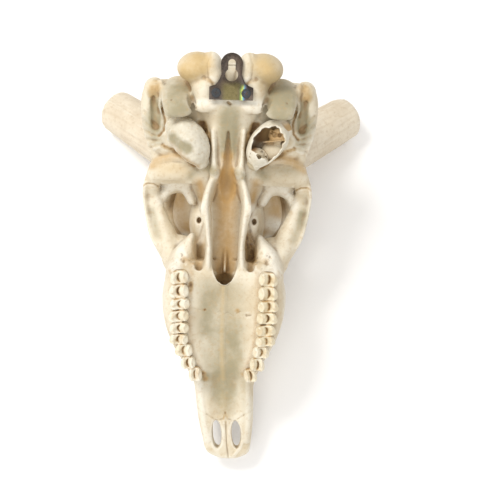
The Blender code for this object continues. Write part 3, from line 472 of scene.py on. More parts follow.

# Even tints over wide areas: tint, sides, radius, strength, highest z, then points as x, y. Some are
# tones of the bone, some are painted shade and some painted light, as noted beside them
WASHES = {
    # Grey over the palate: its olive tone, with painted shade in the vault
    "palate": ("grey", "m", 33, 0.66, 20, [(0, -94), (0, -60), (0, -14)]),
    "palate left": ("grey", "l", 13, 0.35, 20, [(-18, -4), (-17, -44)]),
    # Painted shadow over the right half of the palate
    "palate right": ("grey", "r", 15, 0.32, 20, [(9, -84), (12, -62), (11, -46)]),
    "palate middle": ("yellow", "m", 4, 0.45, 20, [(-1, -4), (-1, -40), (0, -92)]),
    "gutter": ("grey", "m", 15, 0.5, 20, [(0, -92), (0, -120)]),
    "crest": ("yellow", "m", 9, 0.35, 20, [(0, -108), (0, -126)]),
    "canine": ("grey", "l", 8, 0.7, 20, [(-17, -88)]),
    # Painted light on the snout's left side and painted shade on its right side
    "snout left": ("white", "l", 8, 0.5, 20, [(-23, -94), (-20, -120), (-18, -150)]),
    "snout right": ("grey", "r", 9, 0.25, 20, [(23, -94), (20, -120), (18, -150)]),
    "cheek": ("white", "lr", 10, 0.5, 2, [(56, -40), (56, -2)]),
    # Grey over the plates and the base: an olive tone with painted shade, the right plate darker as the
    # shaded side
    "plate left": ("grey", "l", 25, 0.95, 20, [(-46, 168), (-46, 154)]),
    "plate right": ("grey", "r", 25, 1.15, 20, [(46, 168), (46, 154)]),
    "base": ("grey", "m", 16, 1.25, 20, [(0, 150), (0, 118)]),
    # Painted highlight on the flares
    "flare": ("white", "lr", 6, 0.8, 20, [(8, 161), (30, 160)]),
    # Painted shade in the mastoid hollow
    "mastoid hollow": ("grey", "lr", 8, 1.0, 20, [(70, 166), (66, 138)]),
    "temporal": ("grey", "lr", 15, 0.7, 20, [(72, 142), (66, 126)]),
    "glenoid side": ("grey", "lr", 9, 0.6, 20, [(34, 92), (28, 98)]),
    "glenoid left": ("yellow", "l", 15, 0.5, 20, [(-42, 100), (-58, 99)]),
    # Painted shade on the right glenoid, the shaded side
    "glenoid right": ("grey", "r", 14, 0.4, 20, [(40, 100), (60, 98)]),
    "tubercle left": ("grey", "l", 8, 0.9, 20, [(-19, 102), (-12, 98)]),
    "tubercle right": ("grey", "r", 8, 0.7, 20, [(8, 98), (14, 94)]),
    "arch": ("grey", "lr", 8, 0.55, 20, [(64, 36), (70, 58)]),
    "arch right": ("grey", "r", 9, 0.4, 20, [(72, 50), (72, 74)]),
    # In the choana: amber that is partly a stain and partly painted shade, and brown painted shade at its
    # front under the palate's edge
    "choana": ("amber", "m", 19, 0.85, -12, [(0, 4), (0, 90)]),
    "choana front": ("brown", "m", 10, 0.75, -12, [(0, -10), (0, 6)]),
    # Amber in the base's groove, partly a stain and partly painted shade
    "base groove": ("amber", "m", 11, 0.9, 20, [(0, 112), (0, 78)]),
    # Amber in the orbits, partly a stain and partly painted shade
    "orbit": ("amber", "lr", 19, 0.72, -62, [(48, 66), (46, 48), (40, 38)]),
    "orbit right": ("brown", "r", 13, 0.3, -62, [(54, 72), (58, 62)]),
    "orbit right low": ("white", "r", 13, 0.9, -62, [(42, 44), (50, 40)]),
    # Painted light on the orbit's side walls and on the crescent behind the orbit
    "orbit side": ("white", "lr", 8, 0.7, -34, [(24, 62), (23, 32)]),
    "crescent": ("white", "lr", 9, 1.1, -34, [(61, 67), (58, 76), (48, 83), (39, 79), (34, 68)]),
    # Painted highlight on the face of the tuber
    "tuber face": ("white", "lr", 11, 0.9, 10, [(46, 10), (40, 26)]),
    # Amber in the notches, in the hollows beside the choana and on the slope behind the glenoid: a brown
    # tone with painted shade
    "notch": ("amber", "lr", 9, 0.6, -4, [(24, 32), (23.5, 12)]),
    "side hollow": ("amber", "lr", 9, 0.75, -18, [(26, 86), (23, 68)]),
    "glenoid back": ("amber", "lr", 8, 0.7, 20, [(32, 108), (46, 111), (60, 108), (70, 100)]),
    "condyle": ("yellow", "lr", 21, 0.8, 20, [(27, 194), (36, 186)]),
    "condyle left": ("yellow", "l", 17, 0.45, 20, [(-26, 194), (-34, 188)]),
    "condyle right": ("grey", "r", 20, 0.75, 20, [(28, 192), (36, 184)]),
    # Painted shadow cast by the right condyle beside its neck
    "neck side": ("amber", "r", 9, 0.4, 20, [(30, 170), (33, 176)]),
    "mastoid knob": ("yellow", "lr", 13, 0.75, 20, [(68, 172)]),
}
# How far the surface is smoothed to tell its narrow and its wide hollows
NEAR_PASSES = 10
WIDE_PASSES = 70
TINTS = ("grey", "amber", "yellow", "brown", "white")
MARKS = ("known", "stain_and_shade", "groove", "hollow", *TINTS)
# Tint colours: grey is an olive tone of the bone and, in many washes, painted shade; white is used mostly
# for painted highlight and painted light; amber and brown in deep places are partly stain and partly
# painted shade; yellow is a tone of the bone
TINT_COLOURS = {
    "grey": (0.33, 0.29, 0.185),
    "amber": (0.50, 0.32, 0.13),
    "yellow": (0.56, 0.41, 0.20),
    "brown": (0.20, 0.11, 0.045),
    "white": (0.79, 0.75, 0.65),
}
# Bone colours: tan serves both for stains and for the painted shade of hollows, brown both for seams,
# pores and stains and for the painted shade of narrow creases
BONE_COLOURS = {
    "pale": (0.72, 0.66, 0.53),
    "cream": (0.61, 0.52, 0.37),
    "tan": (0.45, 0.30, 0.135),
    "brown": (0.15, 0.08, 0.035),
}


def smooth_rows(rows, steps=8, closed=False):
    """Rows read along a smooth curve that passes through the given rows of numbers."""
    table = np.array(rows, float)
    count = len(table)
    made = []
    for i in range(count if closed else count - 1):
        if closed:
            a, b, c, d = (table[(i + k - 1) % count] for k in range(4))
        else:
            a, b, c, d = (table[min(max(i + k - 1, 0), count - 1)] for k in range(4))
        for step in range(steps):
            t = step / steps
            made.append((
                2 * b + (c - a) * t + (2 * a - 5 * b + 4 * c - d) * t * t
                + (3 * b - a - 3 * c + d) * t ** 3
            ) / 2)
    if not closed:
        made.append(table[-1])
    return made


class Clay:
    """Closed forms gathered in skull millimetres, to become one mesh."""

    def __init__(self):
        self.points = []
        self.faces = []

    def skin(self, rings, closed=False):
        """Triangles between equal rings of points, and a cap on each open end."""
        start, count, turns = len(self.points), len(rings[0]), len(rings)
        for ring in rings:
            self.points.extend(tuple(p) for p in ring)
        for i in range(turns if closed else turns - 1):
            low, high = start + i * count, start + (i + 1) % turns * count
            for k in range(count):
                n = (k + 1) % count
                self.faces.append((low + k, low + n, high + n))
                self.faces.append((low + k, high + n, high + k))
        if not closed:
            self.faces.append(tuple(start + k for k in reversed(range(count))))
            last = start + (turns - 1) * count
            self.faces.append(tuple(last + k for k in range(count)))

    def bar(self, rows, broad=(1, 0, 0), sides=26, steps=8, closed=False, grow=0.0, dome=True):
        """A bar with elliptical sections: rows hold x, y, z, half breadth, half thickness."""
        rows = smooth_rows(rows, steps, closed)
        rings = []
        for i, row in enumerate(rows):
            ahead = rows[(i + 1) % len(rows)] if closed else rows[min(i + 1, len(rows) - 1)]
            behind = rows[i - 1] if closed else rows[max(i - 1, 0)]
            along = Vector(ahead[:3] - behind[:3]).normalized()
            wide = Vector(broad) - along * along.dot(Vector(broad))
            wide.normalize()
            thick = along.cross(wide)
            rings.append((Vector(row[:3]), along, wide * (row[3] + grow), thick * (row[4] + grow)))
        if dome and not closed:
            rings = dome_rings(rings[0], -1) + rings + dome_rings(rings[-1], 1)
        turns = [math.tau * k / sides for k in range(sides)]
        self.skin(
            [[p + w * math.cos(a) + t * math.sin(a) for a in turns] for p, _, w, t in rings],
            closed,
        )

    def midline(self, rows, **options):
        self.bar([(0, y, z, wide, high) for y, z, wide, high in rows], **options)

    def blob(self, centre, radii, turn=(0, 0, 0), segments=32):
        """An ellipsoid."""
        spin = Euler([math.radians(a) for a in turn]).to_matrix()
        rings = []
        rows = segments // 2
        for i in range(1, rows):
            up = math.pi * i / rows - math.pi / 2
            ring = []
            for k in range(segments):
                a = math.tau * k / segments
                p = (
                    radii[0] * math.cos(up) * math.cos(a),
                    radii[1] * math.cos(up) * math.sin(a),
                    radii[2] * math.sin(up),
                )
                ring.append(Vector(centre) + spin @ Vector(p))
            rings.append(ring)
        self.skin(rings)

    def box(self, low, high):
        (left, front, bottom), (right, back, top) = low, high
        corners = (left, front), (right, front), (right, back), (left, back)
        self.skin([[(*corner, z) for corner in corners] for z in (bottom, top)])

    def object(self, name):
        """The mesh object, in metres, with its faces pointing out."""
        mesh = bpy.data.meshes.new(name)
        mesh.from_pydata([tuple(c * MM for c in p) for p in self.points], [], self.faces)
        bm = bmesh.new()
        bm.from_mesh(mesh)
        bmesh.ops.recalc_face_normals(bm, faces=bm.faces)
        bm.to_mesh(mesh)
        bm.free()
        obj = bpy.data.objects.new(name, mesh)
        bpy.context.scene.collection.objects.link(obj)
        return obj


def dome_rings(ring, way):
    """Shrinking rings that round off the end of a bar."""
    place, along, wide, thick = ring
    reach = min(wide.length, thick.length)
    rings = []
    for angle in (0.3, 0.6, 0.9, 1.15, 1.4):
        shift = along * (way * reach * math.sin(angle))
        scale = math.cos(angle)
        rings.append((place + shift, along, wide * scale, thick * scale))
    return rings if way > 0 else rings[::-1]


def mirrored(point, side):
    """The point or row on this side of the skull: side -1 changes the sign of its x."""
    return (point[0] * side, *point[1:])


def flipped(rows, side):
    return [mirrored(row, side) for row in rows]


def pick(obj):
    """Makes the object the only one selected and the active one."""
    bpy.ops.object.select_all(action="DESELECT")
    obj.select_set(True)
    bpy.context.view_layer.objects.active = obj


def apply_modifier(obj, kind, **values):
    """Adds a modifier with these values and applies it."""
    modifier = obj.modifiers.new(kind.lower(), kind)
    for name, value in values.items():
        setattr(modifier, name, value)
    pick(obj)
    bpy.ops.object.modifier_apply(modifier=modifier.name)


def remesh(obj, voxel):
    apply_modifier(obj, "REMESH", mode="VOXEL", voxel_size=voxel * MM)


def relax(obj, passes, factor=0.5):
    apply_modifier(obj, "SMOOTH", iterations=passes, factor=factor)


def combine(obj, other, operation, solver="MANIFOLD"):
    apply_modifier(obj, "BOOLEAN", operation=operation, object=other, solver=solver)


def discard(*objects):
    for obj in objects:
        bpy.data.objects.remove(obj)


def copy_of(obj, name):
    twin = bpy.data.objects.new(name, obj.data.copy())
    bpy.context.scene.collection.objects.link(twin)
    return twin


def points_of(mesh):
    """The mesh's points in skull millimetres, as an array."""
    points = np.empty(len(mesh.vertices) * 3)
    mesh.vertices.foreach_get("co", points)
    return points.reshape(-1, 3) / MM


def normals_of(mesh):
    normals = np.empty(len(mesh.vertices) * 3)
    mesh.vertices.foreach_get("normal", normals)
    return normals.reshape(-1, 3)


def move_points(mesh, points):
    mesh.vertices.foreach_set("co", (points * MM).ravel())
    mesh.update()


def keep_largest(obj):
    """Only the closed surface with the most points stays."""
    mesh = obj.data
    ends = edges_of(mesh)
    label = np.arange(len(mesh.vertices))
    while True:
        low = label[ends].min(1)
        new = label.copy()
        np.minimum.at(new, ends[:, 0], low)
        np.minimum.at(new, ends[:, 1], low)
        new = new[new]
        if (new == label).all():
            break
        label = new
    names, counts = np.unique(label, return_counts=True)
    if len(names) == 1:
        return
    stray = np.flatnonzero(label != names[counts.argmax()])
    bm = bmesh.new()
    bm.from_mesh(mesh)
    bm.verts.ensure_lookup_table()
    bmesh.ops.delete(bm, geom=[bm.verts[i] for i in stray], context="VERTS")
    bm.to_mesh(mesh)
    bm.free()


def ripple(points, size, seed):
    """Smooth pseudo-random numbers from about -1 to 1 that change over size millimetres."""
    draw = np.random.default_rng(seed)
    total = np.zeros(len(points))
    for _ in range(9):
        way = draw.normal(size=3)
        way *= draw.uniform(0.6, 1.5) * math.tau / size / np.linalg.norm(way)
        total += np.sin(points @ way + draw.uniform(0, math.tau))
    return total / 3


def uneven(points, name):
    """The sum of the ripples that UNEVEN gives for this surface."""
    return sum(height * ripple(points, size, seed) for height, size, seed in UNEVEN[name])


def smoothed(values, edges, passes):
    """Values on the points, each averaged with its neighbours, over and over."""
    count = len(values)
    degree = np.bincount(edges.ravel(), minlength=count).astype(float)
    degree[degree == 0] = 1
    columns = values.reshape(count, -1)
    for _ in range(passes):
        total = np.empty_like(columns)
        for k in range(columns.shape[1]):
            total[:, k] = np.bincount(edges[:, 0], columns[edges[:, 1], k], count)
            total[:, k] += np.bincount(edges[:, 1], columns[edges[:, 0], k], count)
        columns = 0.5 * columns + 0.5 * total / degree[:, None]
    return columns.reshape(values.shape)


def edges_of(mesh):
    edges = np.empty(len(mesh.edges) * 2, int)
    mesh.edges.foreach_get("vertices", edges)
    return edges.reshape(-1, 2)


def stroke_reach(points, route, radius):
    """How near each point is to a drawn route, 1 on it and 0 at its radius and beyond."""
    route = np.array([*route, route[-1]], float)
    low, high = route.min(0) - radius, route.max(0) + radius
    near = ((points[:, :2] > low) & (points[:, :2] < high)).all(1)
    index = np.flatnonzero(near)
    flat = points[index, :2]
    best = np.full(len(index), 1e9)
    for a, b in zip(route, route[1:]):
        run = b - a
        t = np.clip(((flat - a) @ run) / max(run @ run, 1e-9), 0, 1)
        best = np.minimum(best, np.linalg.norm(flat - (a + t[:, None] * run), axis=1))
    reach = np.zeros(len(points))
    reach[index] = np.clip(1 - (best / radius) ** 2, 0, 1) ** 2
    return reach


def bent_routes(sides, route):
    """The route as drawn on each of its sides."""
    return [flipped(route, side) for side in DRAWN_SIDES[sides]]


def draw_strokes(mesh):
    """Presses the strokes into the bone and stores their stain, which is painted shade for some strokes
    and painted highlight below zero.
    """
    points, normals = points_of(mesh), normals_of(mesh)
    facing = np.clip((normals[:, 2] + 0.1) / 0.5, 0, 1)
    near = facing * (points[:, 2] > LOWEST_STROKE)
    lift, stain_and_shade = np.zeros(len(points)), np.zeros(len(points))
    fine = uneven(points, "strokes")
    for name, (sides, radius, height, colour, rough, route) in STROKES.items():
        shown = near
        if name in DEEP_STROKES:
            shown = np.clip((DEEP_STROKES[name] - points[:, 2]) / 10, 0, 1)
        for bent in bent_routes(sides, route):
            reach = stroke_reach(points, bent, radius) * shown
            lift += reach * (height + rough * 0.45 * fine)
            # Real stain for some strokes, painted shade for others, painted highlight where it is below
            # zero
            stain_and_shade += reach * colour * (0.9 + 0.3 * fine)
    move_points(mesh, points + normals * lift[:, None])
    return stain_and_shade


def wash_tints(points, normals):
    """How strongly each wide tint shows at each point."""
    shown = np.clip((normals[:, 2] + 0.3) / 0.4, 0, 1)
    tints = {tint: np.zeros(len(points)) for tint in TINTS}
    for tint, sides, radius, strength, highest, route in WASHES.values():
        deep = shown * np.clip((highest - points[:, 2]) / 8, 0, 1)
        for bent in bent_routes(sides, route):
            tints[tint] += stroke_reach(points, bent, radius) * deep * strength
    return tints


def store(mesh, name, values):
    layer = mesh.attributes.new(name, "FLOAT", "POINT")
    layer.data.foreach_set("value", values.astype(np.float32))


def mark_surface(mesh, stain_and_shade, tints):
    """Stores the stain and painted shade, the tints, and how hollow the surface is, narrowly and widely,
    which the material turns into painted shade and highlight.
    """
    points, normals, edges = points_of(mesh), normals_of(mesh), edges_of(mesh)
    near = smoothed(points, edges, NEAR_PASSES)
    wide = smoothed(near, edges, WIDE_PASSES)
    fine = ((near - points) * normals).sum(1)
    broad = ((wide - points) * normals).sum(1)
    store(mesh, "known", np.ones(len(points)))
    store(mesh, "stain_and_shade", np.clip(stain_and_shade, -1, 1.8))
    # Narrow creases above zero, darkened later as dark seams and painted shade; ridges below zero,
    # whitened later as painted highlight
    store(mesh, "groove", np.clip(fine * 2.2, -1, 1))
    # Wide hollows, darkened later as painted shade; strokes below zero lessen it as painted highlight
    store(mesh, "hollow", np.clip(broad * 0.45 + np.minimum(stain_and_shade, 0), -1, 1))
    for tint in TINTS:
        store(mesh, tint, np.clip(tints.get(tint, np.zeros(len(stain_and_shade))), 0, 1))


def marks_of(mesh):
    """The marks stored on the points, one column for each."""
    marks = np.empty((len(mesh.vertices), len(MARKS)))
    for column, name in enumerate(MARKS):
        values = np.empty(len(marks), np.float32)
        mesh.attributes[name].data.foreach_get("value", values)
        marks[:, column] = values
    return marks


def mend_seams(piece, tree, marks):
    """Points that a cut has made take the marks of the nearest point of the uncut bone."""
    mesh = piece.data
    known = marks_of(mesh)
    cut = np.flatnonzero(known[:, 0] < 0.999)
    points = points_of(mesh)
    for index in cut:
        known[index] = marks[tree.find(points[index])[1]]
    for column, name in enumerate(MARKS):
        mesh.attributes[name].data.foreach_set("value", known[:, column].astype(np.float32))


def lean_snout(mesh):
    """The face in front of the cheek teeth leans a little to the animal's right."""
    points = points_of(mesh)
    ahead = (LEAN_FROM - points[:, 1]) / LEAN_BLEND
    points[:, 0] += LEAN_SLOPE * LEAN_BLEND * np.logaddexp(0, ahead)
    move_points(mesh, points)


def rest_matrix():
    return Matrix.Translation((0, REST_SHIFT * MM, REST_LIFT * MM)) @ Matrix.Rotation(
        math.radians(REST_PITCH), 4, "X"
    )


def finish_piece(obj, material, slot, *nodes):
    """Tips the piece into its rest pose, gives it its finish and hands it to the frame."""
    lean_snout(obj.data)
    obj.data.transform(rest_matrix())
    inside = np.clip(points_of(obj.data) * MM, *(np.array(corner) for corner in CAD_BOX))
    move_points(obj.data, inside / MM)
    obj.data.materials.clear()
    obj.data.materials.append(material)
    pick(obj)
    bpy.ops.object.shade_smooth_by_angle(angle=math.radians(60))
    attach(obj, "root")
    if nodes:
        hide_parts(*nodes)


def thin_to_limit(obj):
    count = sum(len(face.vertices) - 2 for face in obj.data.polygons)
    if count > MOST_TRIANGLES:
        apply_modifier(obj, "DECIMATE", ratio=MOST_TRIANGLES / count)


def slab(cut_low, cut_high, way, gap):
    """Everything on one side of a slanting cut: way -1 in front of it, 1 behind it."""
    clay = Clay()
    slope = (cut_high - cut_low) / ROOF_Z
    near_top = cut_low + slope * ABOVE_SKULL + gap * way
    near_end = cut_low + slope * BELOW_SKULL + gap * way
    far = PAST_SKULL * way
    corners = (near_top, ABOVE_SKULL), (far, ABOVE_SKULL), (far, BELOW_SKULL), (near_end, BELOW_SKULL)
    clay.skin([[(x, y, z) for y, z in corners] for x in (-BESIDE_SKULL, BESIDE_SKULL)])
    return clay.object("slab")


def fused_bone(voxel):
    """All the bones fused to one surface, hollowed and with its fine relief."""
    clay = Clay()
    for rows in MIDLINE_FORMS.values():
        clay.midline(rows, sides=40)
    clay.bar(VOMER)
    clay.skin([jaw_ring(row) for row in smooth_rows(UPPER_JAW)])
    for side in SIDES.values():
        for broad, rows in BARS.values():
            clay.bar(flipped(rows, side), mirrored(broad, side))
        clay.bar(flipped(ORBIT_RIM, side), mirrored(ORBIT_RIM_BREADTH, side), closed=True)
        for centre, radii, turn in BLOBS.values():
            clay.blob(mirrored(centre, side), radii, (turn[0], turn[1] * side, turn[2] * side))
    body = clay.object("bone")
    remesh(body, voxel)
    relax(body, 14)

    hollow = Clay()
    for rows in MIDLINE_HOLLOWS.values():
        hollow.midline(rows)
    hollow.bar(BASE_GROOVE)
    for side in SIDES.values():
        for broad, rows in SIDE_HOLLOWS.values():
            hollow.bar(flipped(rows, side), mirrored(broad, side))
        for centre, radii in HOLES.values():
            hollow.blob(mirrored(centre, side), radii)
        breadth = (BULLA_BREADTH[0], BULLA_BREADTH[1] * side, 0)
        hollow.bar(flipped(BULLA, side), breadth, grow=CAPSULE_ROOM)
    cutter = hollow.object("hollow")
    remesh(cutter, VOXELS["hollows"])
    combine(body, cutter, "DIFFERENCE")
    vomer = Clay()
    vomer.bar(VOMER)
    plate = vomer.object("vomer")
    combine(body, plate, "UNION")
    remesh(body, voxel)
    relax(body, 5)
    keep_largest(body)
    discard(cutter, plate)
    tints = wash_tints(points_of(body.data), normals_of(body.data))
    mark_surface(body.data, draw_strokes(body.data), tints)
    return body


def jaw_ring(row):
    """The outline of the upper jaw across the skull, from one row of UPPER_JAW."""
    y, palate, inner, gum, outer, cheek, cheek_z, wall, wall_z, nasal, nasal_z, top = row
    half = [
        (inner * 0.55, palate + (gum - palate) * 0.12),
        (inner, gum - 1),
        (outer, gum - 2),
        (cheek, cheek_z),
        (wall, wall_z),
        (nasal, nasal_z),
    ]
    corners = [(0, y, palate)] + [(x, y, z) for x, z in half]
    corners += [(0, y, top)] + [(-x, y, z) for x, z in reversed(half)]
    return smooth_rows(corners, 5, True)


def box_object(name, one, other):
    """A block between two corners, whichever of them has the lower x."""
    clay = Clay()
    low_x, high_x = sorted((one[0], other[0]))
    clay.box((low_x, *one[1:]), (high_x, *other[1:]))
    return clay.object(name)


def arch_box(side, grow):
    low, high = ARCH_REGION
    return box_object(
        "arch region", ((low[0] - grow) * side, low[1] - grow, low[2] - grow),
        (high[0] * side, high[1] + grow, high[2]),
    )


def nasal_bar(grow):
    clay = Clay()
    clay.bar(NASAL_REGION, grow=grow)
    return clay.object("nasal region")


def cut_out(body, name, region, wider):
    """Takes the bone inside a region out of the body, and the seam around it."""
    piece = copy_of(body, name)
    combine(piece, region, "INTERSECT")
    combine(body, wider, "DIFFERENCE")
    discard(region, wider)
    return piece


def part_bones(body):
    """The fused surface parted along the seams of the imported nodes: node name to piece."""
    pieces = {}
    for word, side in SIDES.items():
        node = "zygomatic_arch_" + word
        pieces[node] = cut_out(body, node + "_bone", arch_box(side, 0.0), arch_box(side, SEAM))
    pieces["nasals"] = cut_out(body, "nasal_bones", nasal_bar(0.0), nasal_bar(SEAM))
    jaw = copy_of(body, "upper_jaw_bone")
    front = slab(FACE_CUT_AT_PALATE, FACE_CUT_AT_ROOF, -1, 0)
    back = slab(FACE_CUT_AT_PALATE, FACE_CUT_AT_ROOF, 1, SEAM)
    combine(jaw, front, "INTERSECT")
    combine(body, back, "INTERSECT")
    tip = slab(PREMAXILLA_CUT_AT_PALATE, PREMAXILLA_CUT_AT_TOP, -1, 0)
    rest = slab(PREMAXILLA_CUT_AT_PALATE, PREMAXILLA_CUT_AT_TOP, 1, SEAM)
    for word, side in SIDES.items():
        node = "premaxilla_" + word
        bone = copy_of(jaw, node + "_bone")
        combine(bone, tip, "INTERSECT")
        half = box_object("half", (SEAM * side, *SNOUT_BOX[0]), (SNOUT_HALF * side, *SNOUT_BOX[1]))
        combine(bone, half, "INTERSECT")
        discard(half)
        pieces[node] = bone
    combine(jaw, rest, "INTERSECT")
    discard(front, back, tip, rest)
    body.name = "cranium_bone"
    return {**pieces, "upper_jaw": jaw, "cranium": body}


# Inputs of a colour's mix node, and how nodes are laid out
MIX_COLOUR_INPUTS = (0, 6, 7)
NODES_IN_ROW = 8
NODE_WIDTH = 180
NODE_HEIGHT = 260


def feed(tree, socket, value):
    """Links the socket to another, or sets its value; a colour is made opaque."""
    if isinstance(value, bpy.types.NodeSocket):
        tree.links.new(value, socket)
    else:
        socket.default_value = (*value, 1) if socket.type == "RGBA" else value


def add_node(tree, kind, **values):
    """A shader node beside the last one, whose inputs take these values or links."""
    node = tree.nodes.new(kind)
    row, column = divmod(len(tree.nodes), NODES_IN_ROW)
    node.location = (column * NODE_WIDTH - NODES_IN_ROW * NODE_WIDTH, -row * NODE_HEIGHT)
    for name, value in values.items():
        feed(tree, node.inputs[name.replace("_", " ")], value)
    return node


def mix_colour(tree, factor, first, second):
    node = add_node(tree, "ShaderNodeMix")
    node.data_type = "RGBA"
    for index, value in zip(MIX_COLOUR_INPUTS, (factor, first, second)):
        feed(tree, node.inputs[index], value)
    return node.outputs[2]


def math_node(tree, operation, *values):
    node = add_node(tree, "ShaderNodeMath")
    node.operation = operation
    for socket, value in zip(node.inputs, values):
        feed(tree, socket, value)
    return node.outputs[0]


def ramp(tree, value, low, high):
    """A value spread to 0 at low and 1 at high."""
    node = add_node(tree, "ShaderNodeMapRange", Value=value, From_Min=low, From_Max=high)
    node.interpolation_type = "SMOOTHSTEP"
    return node.outputs["Result"]


def noise(tree, where, scale, detail=4.0, roughness=0.55):
    return add_node(
        tree, "ShaderNodeTexNoise", Vector=where, Scale=scale, Detail=detail, Roughness=roughness
    ).outputs["Fac"]


def attribute(tree, name):
    node = add_node(tree, "ShaderNodeAttribute")
    node.attribute_name = name
    return node.outputs["Fac"]


def skull_coordinates(tree):
    """Object coordinates turned back to the skull's own axes."""
    where = add_node(tree, "ShaderNodeTexCoord").outputs["Object"]
    mapping = add_node(
        tree, "ShaderNodeMapping", Vector=where, Location=(0, REST_SHIFT * MM, REST_LIFT * MM),
        Rotation=(math.radians(REST_PITCH), 0, 0),
    )
    mapping.vector_type = "TEXTURE"
    return mapping.outputs["Vector"]


def grain_group():
    """Fine pores and fibres of dry bone: a height and a mask of the pores."""
    tree = bpy.data.node_groups.new("bone grain", "ShaderNodeTree")
    face = tree.interface
    face.new_socket("Vector", in_out="INPUT", socket_type="NodeSocketVector")
    face.new_socket("Fineness", in_out="INPUT", socket_type="NodeSocketFloat").default_value = 1.0
    for name in ("Height", "Pores"):
        face.new_socket(name, in_out="OUTPUT", socket_type="NodeSocketFloat")
    inside = add_node(tree, "NodeGroupInput")
    size = add_node(tree, "ShaderNodeVectorMath")
    size.operation = "SCALE"
    feed(tree, size.inputs[0], inside.outputs["Vector"])
    feed(tree, size.inputs["Scale"], inside.outputs["Fineness"])
    where = size.outputs[0]
    grain = noise(tree, where, 900, 5, 0.6)
    lumps = noise(tree, where, 220, 4, 0.5)
    cells = add_node(tree, "ShaderNodeTexVoronoi", Vector=where, Scale=420)
    pit = ramp(tree, cells.outputs["Distance"], 0.16, 0.05)
    patch = ramp(tree, noise(tree, where, 55, 2), 0.5, 0.68)
    pores = math_node(tree, "MULTIPLY", pit, patch)
    body = math_node(tree, "MULTIPLY_ADD", grain, 0.35, lumps)
    height = math_node(tree, "SUBTRACT", body, pores)
    add_node(tree, "NodeGroupOutput", Height=height, Pores=pores)
    return tree


def new_material(name):
    made = bpy.data.materials.new(name)
    made.use_nodes = True
    tree = made.node_tree
    return made, tree, tree.nodes["Principled BSDF"]


# Finishes: pale, cream, tan and brown, roughness, bump and strength of the dark seams and of the painted
# shade in narrow creases
FINISHES = {
    "tooth enamel": (
        (0.80, 0.75, 0.62), (0.72, 0.64, 0.46), (0.45, 0.27, 0.10), (0.13, 0.07, 0.03), 0.36, 0.12, 0.85,
    ),
    "ear bone": (
        (0.72, 0.68, 0.58), (0.60, 0.55, 0.43), (0.42, 0.28, 0.13), (0.14, 0.08, 0.035), 0.5, 0.15, 0.5,
    ),
    "horn core": (
        (0.72, 0.64, 0.51), (0.63, 0.54, 0.41), (0.46, 0.34, 0.20), (0.22, 0.13, 0.06), 0.68, 0.6, 0.25,
    ),
}


def bone_material(name, pale, cream, tan, brown, roughness=0.6, bump=0.35, seam_and_crease_shade=0.5):
    """Dry bone: cream, tinted and stained, whitened on its ridges as painted highlight, tan and brown in
    its hollows and creases as painted shade.
    """
    made, tree, shader = new_material(name)
    where = skull_coordinates(tree)
    fine = add_node(tree, "ShaderNodeGroup")
    fine.node_tree = bpy.data.node_groups["bone grain"]
    feed(tree, fine.inputs["Vector"], where)
    feed(tree, fine.inputs["Fineness"], 1.0)
    drift = noise(tree, where, 75, 5, 0.6)
    stain_and_shade, groove, hollow = (attribute(tree, mark) for mark in ("stain_and_shade", "groove", "hollow"))
    base = mix_colour(tree, ramp(tree, noise(tree, where, 26, 4, 0.55), 0.35, 0.65), pale, cream)
    # Painted highlight: ridges, where the groove mark is below zero, are whitened
    wear_and_highlight = math_node(tree, "MULTIPLY", ramp(tree, groove, -0.12, -0.6), 0.55)
    base = mix_colour(tree, wear_and_highlight, base, TINT_COLOURS["white"])
    patchy = math_node(tree, "MULTIPLY_ADD", drift, 1.6, 0.35)
    for tint in TINTS:
        veil = math_node(tree, "MULTIPLY", attribute(tree, tint), patchy)
        base = mix_colour(tree, ramp(tree, veil, 0.0, 1.25), base, TINT_COLOURS[tint])
    unevenness = math_node(tree, "MULTIPLY", drift, 0.5)
    hollows = math_node(tree, "ADD", hollow, unevenness)
    spread = math_node(tree, "ADD", stain_and_shade, unevenness)
    # Layers over the tints: mask, where it starts and is full, strength and colour. The first paints
    # shade into the wide hollows; the next two lay on the strokes' stains and painted shade; the fourth
    # darkens seams and paints shade into narrow creases; the last is a random tan tone
    for mask, low, high, strength, colour in (
        (hollows, 0.35, 1.3, 0.75, tan),
        (spread, 0.35, 1.3, 0.9, tan),
        (spread, 0.95, 1.9, 0.9, brown),
        (groove, 0.12, 0.8, seam_and_crease_shade, brown),
        (noise(tree, where, 260, 5, 0.7), 0.48, 0.72, 0.4, tan),
    ):
        amount = math_node(tree, "MULTIPLY", ramp(tree, mask, low, high), strength)
        base = mix_colour(tree, amount, base, colour)
    pores = math_node(tree, "MULTIPLY", fine.outputs["Pores"], 0.35)
    feed(tree, shader.inputs["Base Color"], mix_colour(tree, pores, base, brown))
    rough = add_node(
        tree, "ShaderNodeMapRange", Value=drift, To_Min=roughness - 0.1, To_Max=roughness + 0.12
    )
    feed(tree, shader.inputs["Roughness"], rough.outputs["Result"])
    shader.inputs["Specular IOR Level"].default_value = 0.4
    height = fine.outputs["Height"]
    relief = add_node(tree, "ShaderNodeBump", Strength=bump, Distance=0.0012, Height=height)
    feed(tree, shader.inputs["Normal"], relief.outputs["Normal"])
    return made


def bulla_clay(side, grow=0.0):
    clay = Clay()
    clay.bar(flipped(BULLA, side), (BULLA_BREADTH[0], BULLA_BREADTH[1] * side, 0), grow=grow)
    return clay


